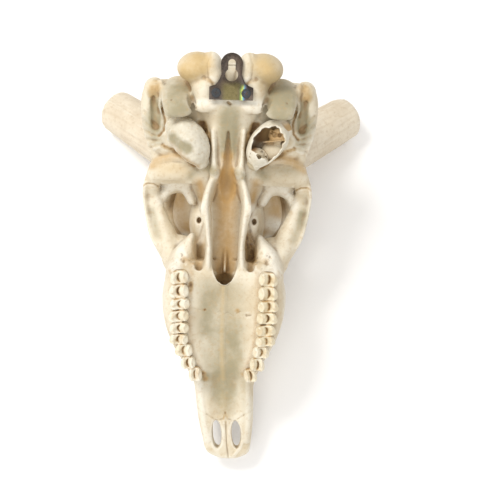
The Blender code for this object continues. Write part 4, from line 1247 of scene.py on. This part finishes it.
def whole_capsule():
    """The left ear capsule, whole, with its lumpy surface."""
    obj = bulla_clay(-1).object("ear_capsule_left")
    remesh(obj, VOXELS["capsule"])
    relax(obj, 6)
    mesh = obj.data
    points, normals = points_of(mesh), normals_of(mesh)
    lift = uneven(points, "capsule")
    shown = np.clip(normals[:, 2] / 0.5, 0, 1)
    dent = stroke_reach(points, CAPSULE_DENT, 8) * shown
    edge = stroke_reach(points, CAPSULE_EDGE, 6) * shown
    lift -= DENT_DEPTH * dent
    move_points(mesh, points + normals * lift[:, None])
    # Grey over the dent is painted shade, on a light grey tone all over
    mark_surface(mesh, edge * 0.8, {"grey": dent + 0.2, "amber": edge * 0.5})
    return obj


def capsule_depth(points):
    """Where each point lies in the right capsule's section: 1 on its outside, 0 on its axis."""
    rows = np.array(BULLA[::-1], float)
    along = rows[-1, :2] - rows[0, :2]
    along /= np.linalg.norm(along)
    at = rows[:, :2] @ along
    x, y, z, wide, thick = (np.interp(points[:, :2] @ along, at, column) for column in rows.T)
    across = (points[:, 0] - x) * along[1] - (points[:, 1] - y) * along[0]
    return np.hypot(across / wide, (points[:, 2] - z) / thick)


def capsule_filling():
    """What shows inside the broken capsule: spongy cells, a smooth floor and a bar."""
    draw = random.Random(7)
    fill, cells, floors = Clay(), Clay(), Clay()
    for centre, radius, (low, high), count, sizes in CELL_ZONES:
        fill.blob((*centre, (low + high) / 2), (radius, radius, (high - low) / 2))
        for _ in range(count):
            angle, reach = draw.uniform(0, math.tau), radius * math.sqrt(draw.random())
            size = draw.uniform(*sizes)
            x, y = centre[0] + reach * math.cos(angle), centre[1] + reach * math.sin(angle)
            place = (x, y, draw.uniform(low, high))
            cells.blob(place, (size, size, size * CELL_DEPTH), segments=12)
    block = fill.object("cell block")
    remesh(block, VOXELS["capsule"])
    holes = cells.object("cells")
    remesh(holes, VOXELS["cells"])
    combine(block, holes, "DIFFERENCE")
    for centre, radii, turn in CAPSULE_FLOORS:
        floors.blob(centre, radii, turn)
    floor = floors.object("floors")
    remesh(floor, VOXELS["floors"])
    combine(block, floor, "UNION")
    bounds = bulla_clay(1, -BULLA_WALL / 2).object("bounds")
    remesh(bounds, VOXELS["capsule"])
    combine(block, bounds, "INTERSECT")
    discard(bounds, holes, floor)
    return block


def broken_capsule():
    """The right ear capsule, its wall broken away over the spongy cells inside."""
    obj = bulla_clay(1).object("ear_capsule_right")
    inside = bulla_clay(1, -BULLA_WALL).object("inside")
    remesh(inside, VOXELS["capsule"])
    remesh(obj, VOXELS["capsule"])
    combine(obj, inside, "DIFFERENCE")
    opening = Clay()
    for centre, radii in BREAKS:
        opening.blob(centre, radii, segments=64)
    gap = opening.object("gap")
    remesh(gap, VOXELS["break"])
    points, normals = points_of(gap.data), normals_of(gap.data)
    move_points(gap.data, points + normals * uneven(points, "break")[:, None])
    combine(obj, gap, "DIFFERENCE")
    filling = capsule_filling()
    combine(obj, filling, "UNION")
    remesh(obj, VOXELS["broken capsule"])
    relax(obj, 2)
    keep_largest(obj)
    discard(inside, gap, filling)
    points = points_of(obj.data)
    within = np.clip((0.97 - capsule_depth(points)) / 0.06, 0, 1)
    cavity, spongy, knob = (
        stroke_reach(points, route, radius) * within for route, radius in CAPSULE_TINT_ROUTES
    )
    # Darker brown over the cavity, amber over the spongy bone, grey over the knob, and all of the inside
    # a little darker
    tints = {
        "brown": cavity * 1.2, "amber": spongy * 0.9 + within * 0.3,
        "grey": knob * 0.5 + within * 0.3,
    }
    mark_surface(obj.data, spongy * 0.8 + within * 0.15, tints)
    return obj


def core_object(word, side):
    """A horn core: fibrous bone with long grooves, sawn square and worn at its edge."""
    root, end = Vector(mirrored(CORE_ROOT, side)), Vector(mirrored(CORE_END, side))
    along = (end - root).normalized()
    rows = []
    for t in CORE_STEPS:
        radius = CORE_ROOT_RADIUS + (CORE_END_RADIUS - CORE_ROOT_RADIUS) * t
        rows.append((*root.lerp(end, t), radius, radius * CORE_FLATNESS))
    wear_and_highlight = CORE_END_RADIUS - SAWN_EDGE
    rows.append((*end, wear_and_highlight, wear_and_highlight * CORE_FLATNESS))
    clay = Clay()
    clay.bar(rows, along.cross(Vector((0, 0, 1))), sides=80, dome=False)
    obj = clay.object("horn_core_" + word + "_bone")
    remesh(obj, VOXELS["core"])
    relax(obj, 2)
    mesh = obj.data
    points, normals = points_of(mesh), normals_of(mesh)
    axis = np.array(along)
    length = (points - np.array(root)) @ axis
    flat = points - np.outer(length, axis)
    stretched = flat + np.outer(length * GROOVE_STRETCH, axis)
    fibres = np.minimum(uneven(stretched, "core fibres"), HIGHEST_FIBRE)
    sawn = np.abs(normals @ axis) > SAWN_FACING
    lift = np.where(sawn, uneven(points, "sawn end"), fibres)
    move_points(mesh, points + normals * lift[:, None])
    mark_surface(mesh, 0.1 + uneven(stretched, "core stain"), {})
    return obj


def crown_height(u, v, wear, bend):
    """Height of a worn lobe's top: u along the row and v from the tongue to the cheek side."""
    cheek = 3.0 * math.exp(-(((v - CHEEK_CUSP) / 0.2) ** 2))
    cheek *= 0.7 + 0.3 * math.cos(math.tau * u * 0.95)
    tongue = 2.5 * math.exp(-(((v - TONGUE_CUSP + CUSP_BEND * u * u) / 0.24) ** 2))
    valley = 4.2 * math.exp(-(((v - VALLEY + bend * u * u) / 0.13) ** 2))
    valley *= math.exp(-((u / 0.7) ** 4))
    return (cheek + tongue) * wear - valley


def lobe_rings(centre, length, width, height, side, wear, spin, bend):
    """Rings of one lobe from its root to the middle of its top."""

    def corner(angle):
        """A rounded square: 1 along its sides and nearly 1 at its corners."""
        u, v = math.cos(angle), math.sin(angle)
        rib = 1 + 0.07 * math.cos(3 * angle) * (1 if v > 0 else 0.3)
        return math.copysign(abs(u) ** 0.72, u), math.copysign(abs(v) ** 0.72, v), rib

    def place(u, v, z):
        turned = Vector((v * width / 2 * side, u * length / 2)) @ Matrix.Rotation(spin, 2)
        return (centre[0] + turned[0], centre[1] + turned[1], z)

    base, wall = GUM_Z - CROWN_ROOT, GUM_Z + height - WALL_DROP
    corners = [corner(math.tau * k / LOBE_SIDES) for k in range(LOBE_SIDES)]
    rings = []
    for share in np.linspace(0, 1, 12):
        flare = 0.86 + 0.14 * share ** 0.7
        rings.append([
            place(u * flare * rib, v * flare * rib, base + (wall - base) * share)
            for u, v, rib in corners
        ])
    for reach in TOP_REACHES:
        shoulder = SHOULDER * (1 - max(0.0, (reach - 0.78) / 0.22) ** 2)
        ring = []
        for u, v, rib in corners:
            u, v = u * reach * rib, v * reach * rib
            top = wall + shoulder - SHOULDER + crown_height(u, v, wear, bend)
            ring.append(place(u, v, top + CROWN_LIFT))
        rings.append(ring)
    return rings


def tooth_row(word, side):
    """The cheek teeth of one side, lobe by lobe, each a little different."""
    draw = random.Random(11 if side < 0 else 12)
    clay = Clay()
    lobes_made = []
    for y, x, length, width, lobes, height in TEETH:
        for lobe in range(lobes):
            step = length / lobes
            lobe_y = y + (lobe - (lobes - 1) / 2) * step
            centre = (x * side + draw.uniform(-0.5, 0.5), lobe_y + draw.uniform(-0.3, 0.3))
            size = draw.uniform(0.96, 1.04)
            spin = math.radians(draw.uniform(-9, 9))
            tall = height + draw.uniform(-0.5, 0.5)
            wear = draw.uniform(0.85, 1.15)
            bend = draw.uniform(0.2, 0.6)
            long, broad = step * 0.99 * size, width * size
            clay.skin(lobe_rings(centre, long, broad, tall, side, wear, spin, bend))
            lobes_made.append((centre, long, broad, spin, bend, draw.uniform(0.3, 1.0)))
    obj = clay.object("teeth_" + word)
    remesh(obj, VOXELS["teeth"])
    relax(obj, 2)
    thin_to_limit(obj)
    mesh = obj.data
    points = points_of(mesh)
    gum = np.clip((GUM_Z + GUM_RISE + uneven(points, "gum") - points[:, 2]) / GUM_FADE, 0, 1)
    blotch = 0.25 * np.clip(uneven(points, "tooth stain"), -1, 1)
    marks, dentine = tooth_marks(points, lobes_made, side)
    tints = {"yellow": gum * 0.55 + 0.1 + blotch, "amber": dentine}
    mark_surface(mesh, gum * 0.9 + blotch + marks, tints)
    return obj


def tooth_marks(points, lobes, side):
    """Dark valleys, painted shade in the gaps between lobes, and worn dentine inside the enamel, lobe by
    lobe.
    """
    marks, dentine = np.zeros(len(points)), np.zeros(len(points))
    for centre, length, width, spin, bend, strength in lobes:
        flat = points[:, :2] - np.array(centre)
        flat = flat @ np.array(Matrix.Rotation(-spin, 2))
        v, u = flat[:, 0] * 2 / width * side, flat[:, 1] * 2 / length
        within = (np.abs(u) < 1.2) & (np.abs(v) < 1.1)
        valley = np.exp(-(((v - VALLEY + bend * u * u) / 0.11) ** 2)) * np.exp(-((u / 0.72) ** 4))
        # Painted shade: a dark line where one lobe meets the next
        gap = np.exp(-(((np.abs(u) - 1.0) / 0.08) ** 2)) * (np.abs(v) < 0.8)
        cheek = np.exp(-(((v - CHEEK_CUSP) / 0.13) ** 2)) * np.exp(-((u / 0.5) ** 4))
        tongue = np.exp(-(((v - TONGUE_CUSP + CUSP_BEND * u * u) / 0.17) ** 2))
        tongue *= np.exp(-((u / 0.55) ** 4))
        marks = np.maximum(marks, within * (valley * (0.9 + 0.6 * strength) + gap * 0.8))
        dentine = np.maximum(dentine, within * (cheek + tongue) * strength * 0.35)
    return marks, dentine


def arc(centre_y, radius, start, sweep, steps):
    """Points on an arc around a centre on the midline, its angles in radians."""
    angles = [start + sweep * step / steps for step in range(steps + 1)]
    return [(radius * math.cos(a), centre_y + radius * math.sin(a)) for a in angles]


def plate_outline():
    outline = [(-FOOT_HALF, FOOT_FRONT), (FOOT_HALF, FOOT_FRONT), (FOOT_HALF, FOOT_BACK)]
    outline += [(NECK_HALF + out, y) for out, y in NECK_CURVE]
    mirror = [(-x, y) for x, y in outline[:0:-1]]
    return outline + arc(EYE_Y, EYE_RADIUS, 0, math.pi, 32) + mirror


def hanger_object():
    """The stamped plate with its keyhole, its edges slightly rounded."""
    clay, hole = Clay(), Clay()
    low, high = PLATE_Z, PLATE_Z + PLATE_THICKNESS
    clay.skin([[(x + PLATE_X, y, z) for x, y in plate_outline()] for z in (low, high)])
    obj = clay.object("hanger_plate_metal")
    outline = arc(KEYHOLE_Y, KEYHOLE_RADIUS, KEYHOLE_START, KEYHOLE_SWEEP, 32)
    outline += arc(EYE_Y + 1, SLOT_HALF, 0, math.pi, 16)
    hole.skin([[(x + PLATE_X, y, z) for x, y in outline] for z in (-20, 20)])
    cutter = hole.object("keyhole")
    combine(obj, cutter, "DIFFERENCE")
    discard(cutter)
    round_edges(obj, PLATE_ROUNDING, 3)
    return obj


def round_edges(obj, width, segments):
    apply_modifier(
        obj, "BEVEL", width=width * MM, segments=segments, limit_method="ANGLE",
        angle_limit=math.radians(40),
    )


def screw_object(word, side):
    """A countersunk screw with a cross recess."""
    top = (PLATE_Z + PLATE_THICKNESS + SCREW_RISE) * MM
    centre = ((PLATE_X + SCREW_X * side) * MM, SCREW_Y * MM)
    bpy.ops.object.select_all(action="DESELECT")
    bpy.ops.mesh.primitive_cylinder_add(
        vertices=48, radius=SCREW_HEAD_RADIUS * MM, depth=SCREW_HEAD_DEPTH * MM,
        location=(*centre, top - SCREW_HEAD_DEPTH / 2 * MM),
    )
    obj = bpy.context.object
    obj.name = "hanger_screw_" + word + "_metal"
    bpy.ops.object.transform_apply(location=True, rotation=True, scale=True)
    round_edges(obj, SCREW_ROUNDING, 4)
    turn = math.radians(20 + 25 * side)
    for quarter in range(2):
        bpy.ops.object.select_all(action="DESELECT")
        bpy.ops.mesh.primitive_cube_add(size=1, location=(*centre, top))
        slot = bpy.context.object
        slot.scale = [size * MM for size in RECESS]
        slot.rotation_euler = (0, 0, turn + quarter * math.pi / 2)
        bpy.ops.object.transform_apply(location=False, rotation=True, scale=True)
        combine(obj, slot, "DIFFERENCE", "EXACT")
        discard(slot)
    return obj


def plate_material():
    """Yellow zinc: nearly black at the eye, olive in the foot, with one rainbow streak."""
    made, tree, shader = new_material("yellow zinc")
    where = skull_coordinates(tree)
    parts = add_node(tree, "ShaderNodeSeparateXYZ", Vector=where)
    drift = noise(tree, where, 70, 3, 0.6)
    fine = noise(tree, where, 600, 4, 0.6)
    swirl = math_node(tree, "MULTIPLY", drift, 0.006)
    along = math_node(tree, "ADD", parts.outputs["Y"], swirl)
    aside = math_node(tree, "ADD", parts.outputs["X"], swirl)

    def around(place, start, full):
        """How near a point is to this x: 0 from start on and 1 within full."""
        apart = math_node(tree, "ABSOLUTE", math_node(tree, "SUBTRACT", aside, place))
        return ramp(tree, apart, start, full)

    foot = math_node(tree, "MULTIPLY", ramp(tree, along, *FOOT_FADE), around(*OLIVE_BAND))
    tone = mix_colour(tree, ramp(tree, drift, 0.3, 0.7), DARK_ZINC, BROWN_ZINC)
    tone = mix_colour(tree, foot, tone, OLIVE_ZINC)
    streak = add_node(tree, "ShaderNodeValToRGB", Fac=ramp(tree, aside, *STREAK_EDGES))
    stops = streak.color_ramp.elements
    stops[0].color, stops[1].color = (*RAINBOW[0], 1), (*RAINBOW[-1], 1)
    for step, colour in enumerate(RAINBOW[1:-1], 1):
        stops.new(step / (len(RAINBOW) - 1)).color = (*colour, 1)
    near = around(sum(STREAK_EDGES) / 2, *STREAK_FADE)
    shown = math_node(tree, "MULTIPLY", near, ramp(tree, along, *STREAK_END))
    tone = mix_colour(tree, shown, tone, streak.outputs["Color"])
    feed(tree, shader.inputs["Base Color"], tone)
    feed(tree, shader.inputs["Roughness"], ramp(tree, fine, 0.0, 1.4))
    shader.inputs["Metallic"].default_value = 0.55
    scratch = add_node(tree, "ShaderNodeBump", Strength=0.15, Distance=0.0002, Height=fine)
    feed(tree, shader.inputs["Normal"], scratch.outputs["Normal"])
    return made


def screw_material():
    """Black screw finish, worn a little on its high places."""
    made, tree, shader = new_material("black screw")
    fine = noise(tree, skull_coordinates(tree), 700, 4, 0.6)
    tone = mix_colour(tree, ramp(tree, fine, 0.45, 0.8), BLACK_SCREW, WORN_SCREW)
    feed(tree, shader.inputs["Base Color"], tone)
    feed(tree, shader.inputs["Roughness"], ramp(tree, fine, -0.4, 1.4))
    shader.inputs["Metallic"].default_value = 0.3
    return made


class KuduBoneSettings(PropertyGroup):
    """Sizes and colours of the bone"""

    voxel: FloatProperty(
        name="Fineness", description="Voxel size of the bone", default=0.001, min=0.0007,
        max=0.004, precision=4, unit="LENGTH",
    )
    pale: FloatVectorProperty(
        name="Pale bone", description="Colour of worn, raised bone", subtype="COLOR",
        default=BONE_COLOURS["pale"],
    )
    cream: FloatVectorProperty(
        name="Cream bone", description="Main colour of the bone", subtype="COLOR",
        default=BONE_COLOURS["cream"],
    )
    # Tan and brown also paint shade into hollows and creases
    tan: FloatVectorProperty(
        name="Tan", description="Colour of hollows and stains", subtype="COLOR",
        default=BONE_COLOURS["tan"],
    )
    brown: FloatVectorProperty(
        name="Brown", description="Colour of seams and pores", subtype="COLOR",
        default=BONE_COLOURS["brown"],
    )


class KuduStageSettings(PropertyGroup):
    """Camera and light"""

    distance: FloatProperty(
        name="Camera distance", description="From the palate to the camera", default=1.0,
        unit="LENGTH",
    )
    tilt: FloatProperty(
        name="Camera tilt", description="From square to the palate towards the back of the head",
        default=math.radians(8.0), subtype="ANGLE",
    )
    roll: FloatProperty(
        name="Camera roll", description="Turn about the line of sight",
        default=math.radians(1.7), subtype="ANGLE",
    )
    light: FloatProperty(
        name="Light", description="Strength of the overhead light", default=16.0, unit="POWER"
    )


class KUDU_OT_bones(Operator):
    """Builds the fused bones and parts them along their seams"""

    bl_idname = "kudu.bones"
    bl_label = "Bones"

    def execute(self, context):
        looks = context.scene.kudu_bone
        material = bone_material("dry bone", looks.pale, looks.cream, looks.tan, looks.brown)
        voxel = looks.voxel / MM * 1.0
        body = fused_bone(voxel)
        marks, points = marks_of(body.data), points_of(body.data)
        tree = KDTree(len(points))
        for index, point in enumerate(points):
            tree.insert(point, index)
        tree.balance()
        for node, piece in part_bones(body).items():
            keep_largest(piece)
            mend_seams(piece, tree, marks)
            thin_to_limit(piece)
            finish_piece(piece, material, "bone", node)
        return {"FINISHED"}


class KUDU_OT_teeth(Operator):
    """Builds the two rows of cheek teeth"""

    bl_idname = "kudu.teeth"
    bl_label = "Teeth"

    def execute(self, context):
        material = bone_material("tooth enamel", *FINISHES["tooth enamel"])
        for word, side in SIDES.items():
            finish_piece(tooth_row(word, side), material, "bone", "upper_jaw")
        return {"FINISHED"}


class KUDU_OT_ear_capsules(Operator):
    """Builds the whole left and the broken right ear capsule"""

    bl_idname = "kudu.ear_capsules"
    bl_label = "Ear capsules"

    def execute(self, context):
        material = bone_material("ear bone", *FINISHES["ear bone"])
        finish_piece(whole_capsule(), material, "ear_bone", "bulla_left")
        finish_piece(broken_capsule(), material, "ear_bone", "bulla_right")
        return {"FINISHED"}


class KUDU_OT_horn_cores(Operator):
    """Builds the two sawn horn cores"""

    bl_idname = "kudu.horn_cores"
    bl_label = "Horn cores"

    def execute(self, context):
        material = bone_material("horn core", *FINISHES["horn core"])
        for word, side in SIDES.items():
            finish_piece(core_object(word, side), material, "horn_core", "horn_core_" + word)
        return {"FINISHED"}


class KUDU_OT_hanger(Operator):
    """Builds the hanger plate and its two screws"""

    bl_idname = "kudu.hanger"
    bl_label = "Hanger"

    def execute(self, context):
        finish_piece(hanger_object(), plate_material(), "plate", "hanger_plate")
        black = screw_material()
        for word, side in SIDES.items():
            finish_piece(screw_object(word, side), black, "screw", "hanger_screw_" + word)
        return {"FINISHED"}


# Floor, world and lights: each light's place, size and share of the light setting
FLOOR_SIZE = 8
FLOOR_DROP = 0.0005
FLOOR_COLOUR = (0.97, 0.97, 0.98, 1)
WORLD_COLOUR = (1.0, 0.99, 0.975, 1)
WORLD_STRENGTH = 0.72
LIGHT_COLOUR = (1.0, 0.975, 0.93)
LIGHT_AIM = (0, 0, 0.12)
LIGHTS = {
    "key": ((-0.75, 0.45, 1.5), 0.6, 1.0),
    "fill": ((-0.1, -1.0, 1.3), 1.0, 0.55),
}


class KUDU_OT_stage(Operator):
    """Sets the pale floor, the soft lights and the camera"""

    bl_idname = "kudu.stage"
    bl_label = "Stage"

    def execute(self, context):
        settings = context.scene.kudu_stage
        bpy.ops.object.select_all(action="DESELECT")
        bpy.ops.mesh.primitive_plane_add(size=FLOOR_SIZE, location=(0, 0, -FLOOR_DROP))
        floor = context.object
        floor.name = "floor"
        made, tree, shader = new_material("pale floor")
        shader.inputs["Base Color"].default_value = FLOOR_COLOUR
        shader.inputs["Roughness"].default_value = 0.9
        floor.data.materials.append(made)

        world = bpy.data.worlds.new("studio")
        context.scene.world = world
        world.use_nodes = True
        back = world.node_tree.nodes["Background"]
        back.inputs["Color"].default_value = WORLD_COLOUR
        back.inputs["Strength"].default_value = WORLD_STRENGTH

        for name, (place, size, share) in LIGHTS.items():
            lamp = bpy.data.lights.new(name, "AREA")
            lamp.size = size
            lamp.energy = settings.light * share
            lamp.color = LIGHT_COLOUR
            light = bpy.data.objects.new(name, lamp)
            light.location = place
            aim = Vector(place) - Vector(LIGHT_AIM)
            light.rotation_euler = aim.to_track_quat("Z", "Y").to_euler()
            context.scene.collection.objects.link(light)

        context.scene.view_settings.view_transform = "Standard"
        place_camera(context.scene, settings)
        return {"FINISHED"}


# Photo pixels: millimetres at the palate, the picture's middle and width, and the place of
# the palate's back edge on the midline
PALATE_PIXEL = 0.9
IMAGE_CENTRE = (240, 240)
IMAGE_WIDTH = 480
CHOANA_PIXEL = (225.4, 282.4)
SENSOR_WIDTH = 36


def place_camera(scene, settings):
    """The camera looks nearly square at the palate from above."""
    tilt, distance = settings.tilt, settings.distance
    right = Vector((1, 0, 0))
    up = Vector((0, math.cos(tilt), -math.sin(tilt)))
    back = Vector((0, math.sin(tilt), math.cos(tilt)))
    aside = (IMAGE_CENTRE[0] - CHOANA_PIXEL[0]) * PALATE_PIXEL * MM
    ahead = (CHOANA_PIXEL[1] - IMAGE_CENTRE[1]) * PALATE_PIXEL * MM
    spot = right * aside + up * ahead + back * distance
    axes = Matrix((right, up, back)).transposed()
    axes = axes @ Matrix.Rotation(settings.roll, 3, "Z")
    view = axes.to_4x4()
    view.translation = spot
    camera = bpy.data.cameras.new("camera")
    camera.sensor_width = SENSOR_WIDTH
    camera.lens = SENSOR_WIDTH * distance / (IMAGE_WIDTH * PALATE_PIXEL * MM)
    eye = bpy.data.objects.new("camera", camera)
    eye.matrix_world = rest_matrix() @ view
    scene.collection.objects.link(eye)
    scene.camera = eye


class KUDU_PT_panel(Panel):
    """Lists the steps of the kudu skull"""

    bl_label = "Kudu Skull"
    bl_idname = "KUDU_PT_panel"
    bl_space_type = "VIEW_3D"
    bl_region_type = "UI"
    bl_category = "Kudu Skull"

    def draw(self, context):
        layout = self.layout
        for settings in (context.scene.kudu_bone, context.scene.kudu_stage):
            for name in settings.__annotations__:
                layout.prop(settings, name)
        for operator in OPERATORS:
            layout.operator(operator.bl_idname)


OPERATORS = (
    KUDU_OT_bones,
    KUDU_OT_teeth,
    KUDU_OT_ear_capsules,
    KUDU_OT_horn_cores,
    KUDU_OT_hanger,
    KUDU_OT_stage,
)
CLASSES = (KuduBoneSettings, KuduStageSettings, *OPERATORS, KUDU_PT_panel)


def register():
    for made in CLASSES:
        bpy.utils.register_class(made)
    bpy.types.Scene.kudu_bone = PointerProperty(type=KuduBoneSettings)
    bpy.types.Scene.kudu_stage = PointerProperty(type=KuduStageSettings)


def unregister():
    del bpy.types.Scene.kudu_stage
    del bpy.types.Scene.kudu_bone
    for made in reversed(CLASSES):
        bpy.utils.unregister_class(made)


def main():
    register()
    grain_group()
    bpy.ops.kudu.bones()
    bpy.ops.kudu.teeth()
    bpy.ops.kudu.ear_capsules()
    bpy.ops.kudu.horn_cores()
    bpy.ops.kudu.hanger()
    bpy.ops.kudu.stage()


if __name__ == "__main__":
    main()
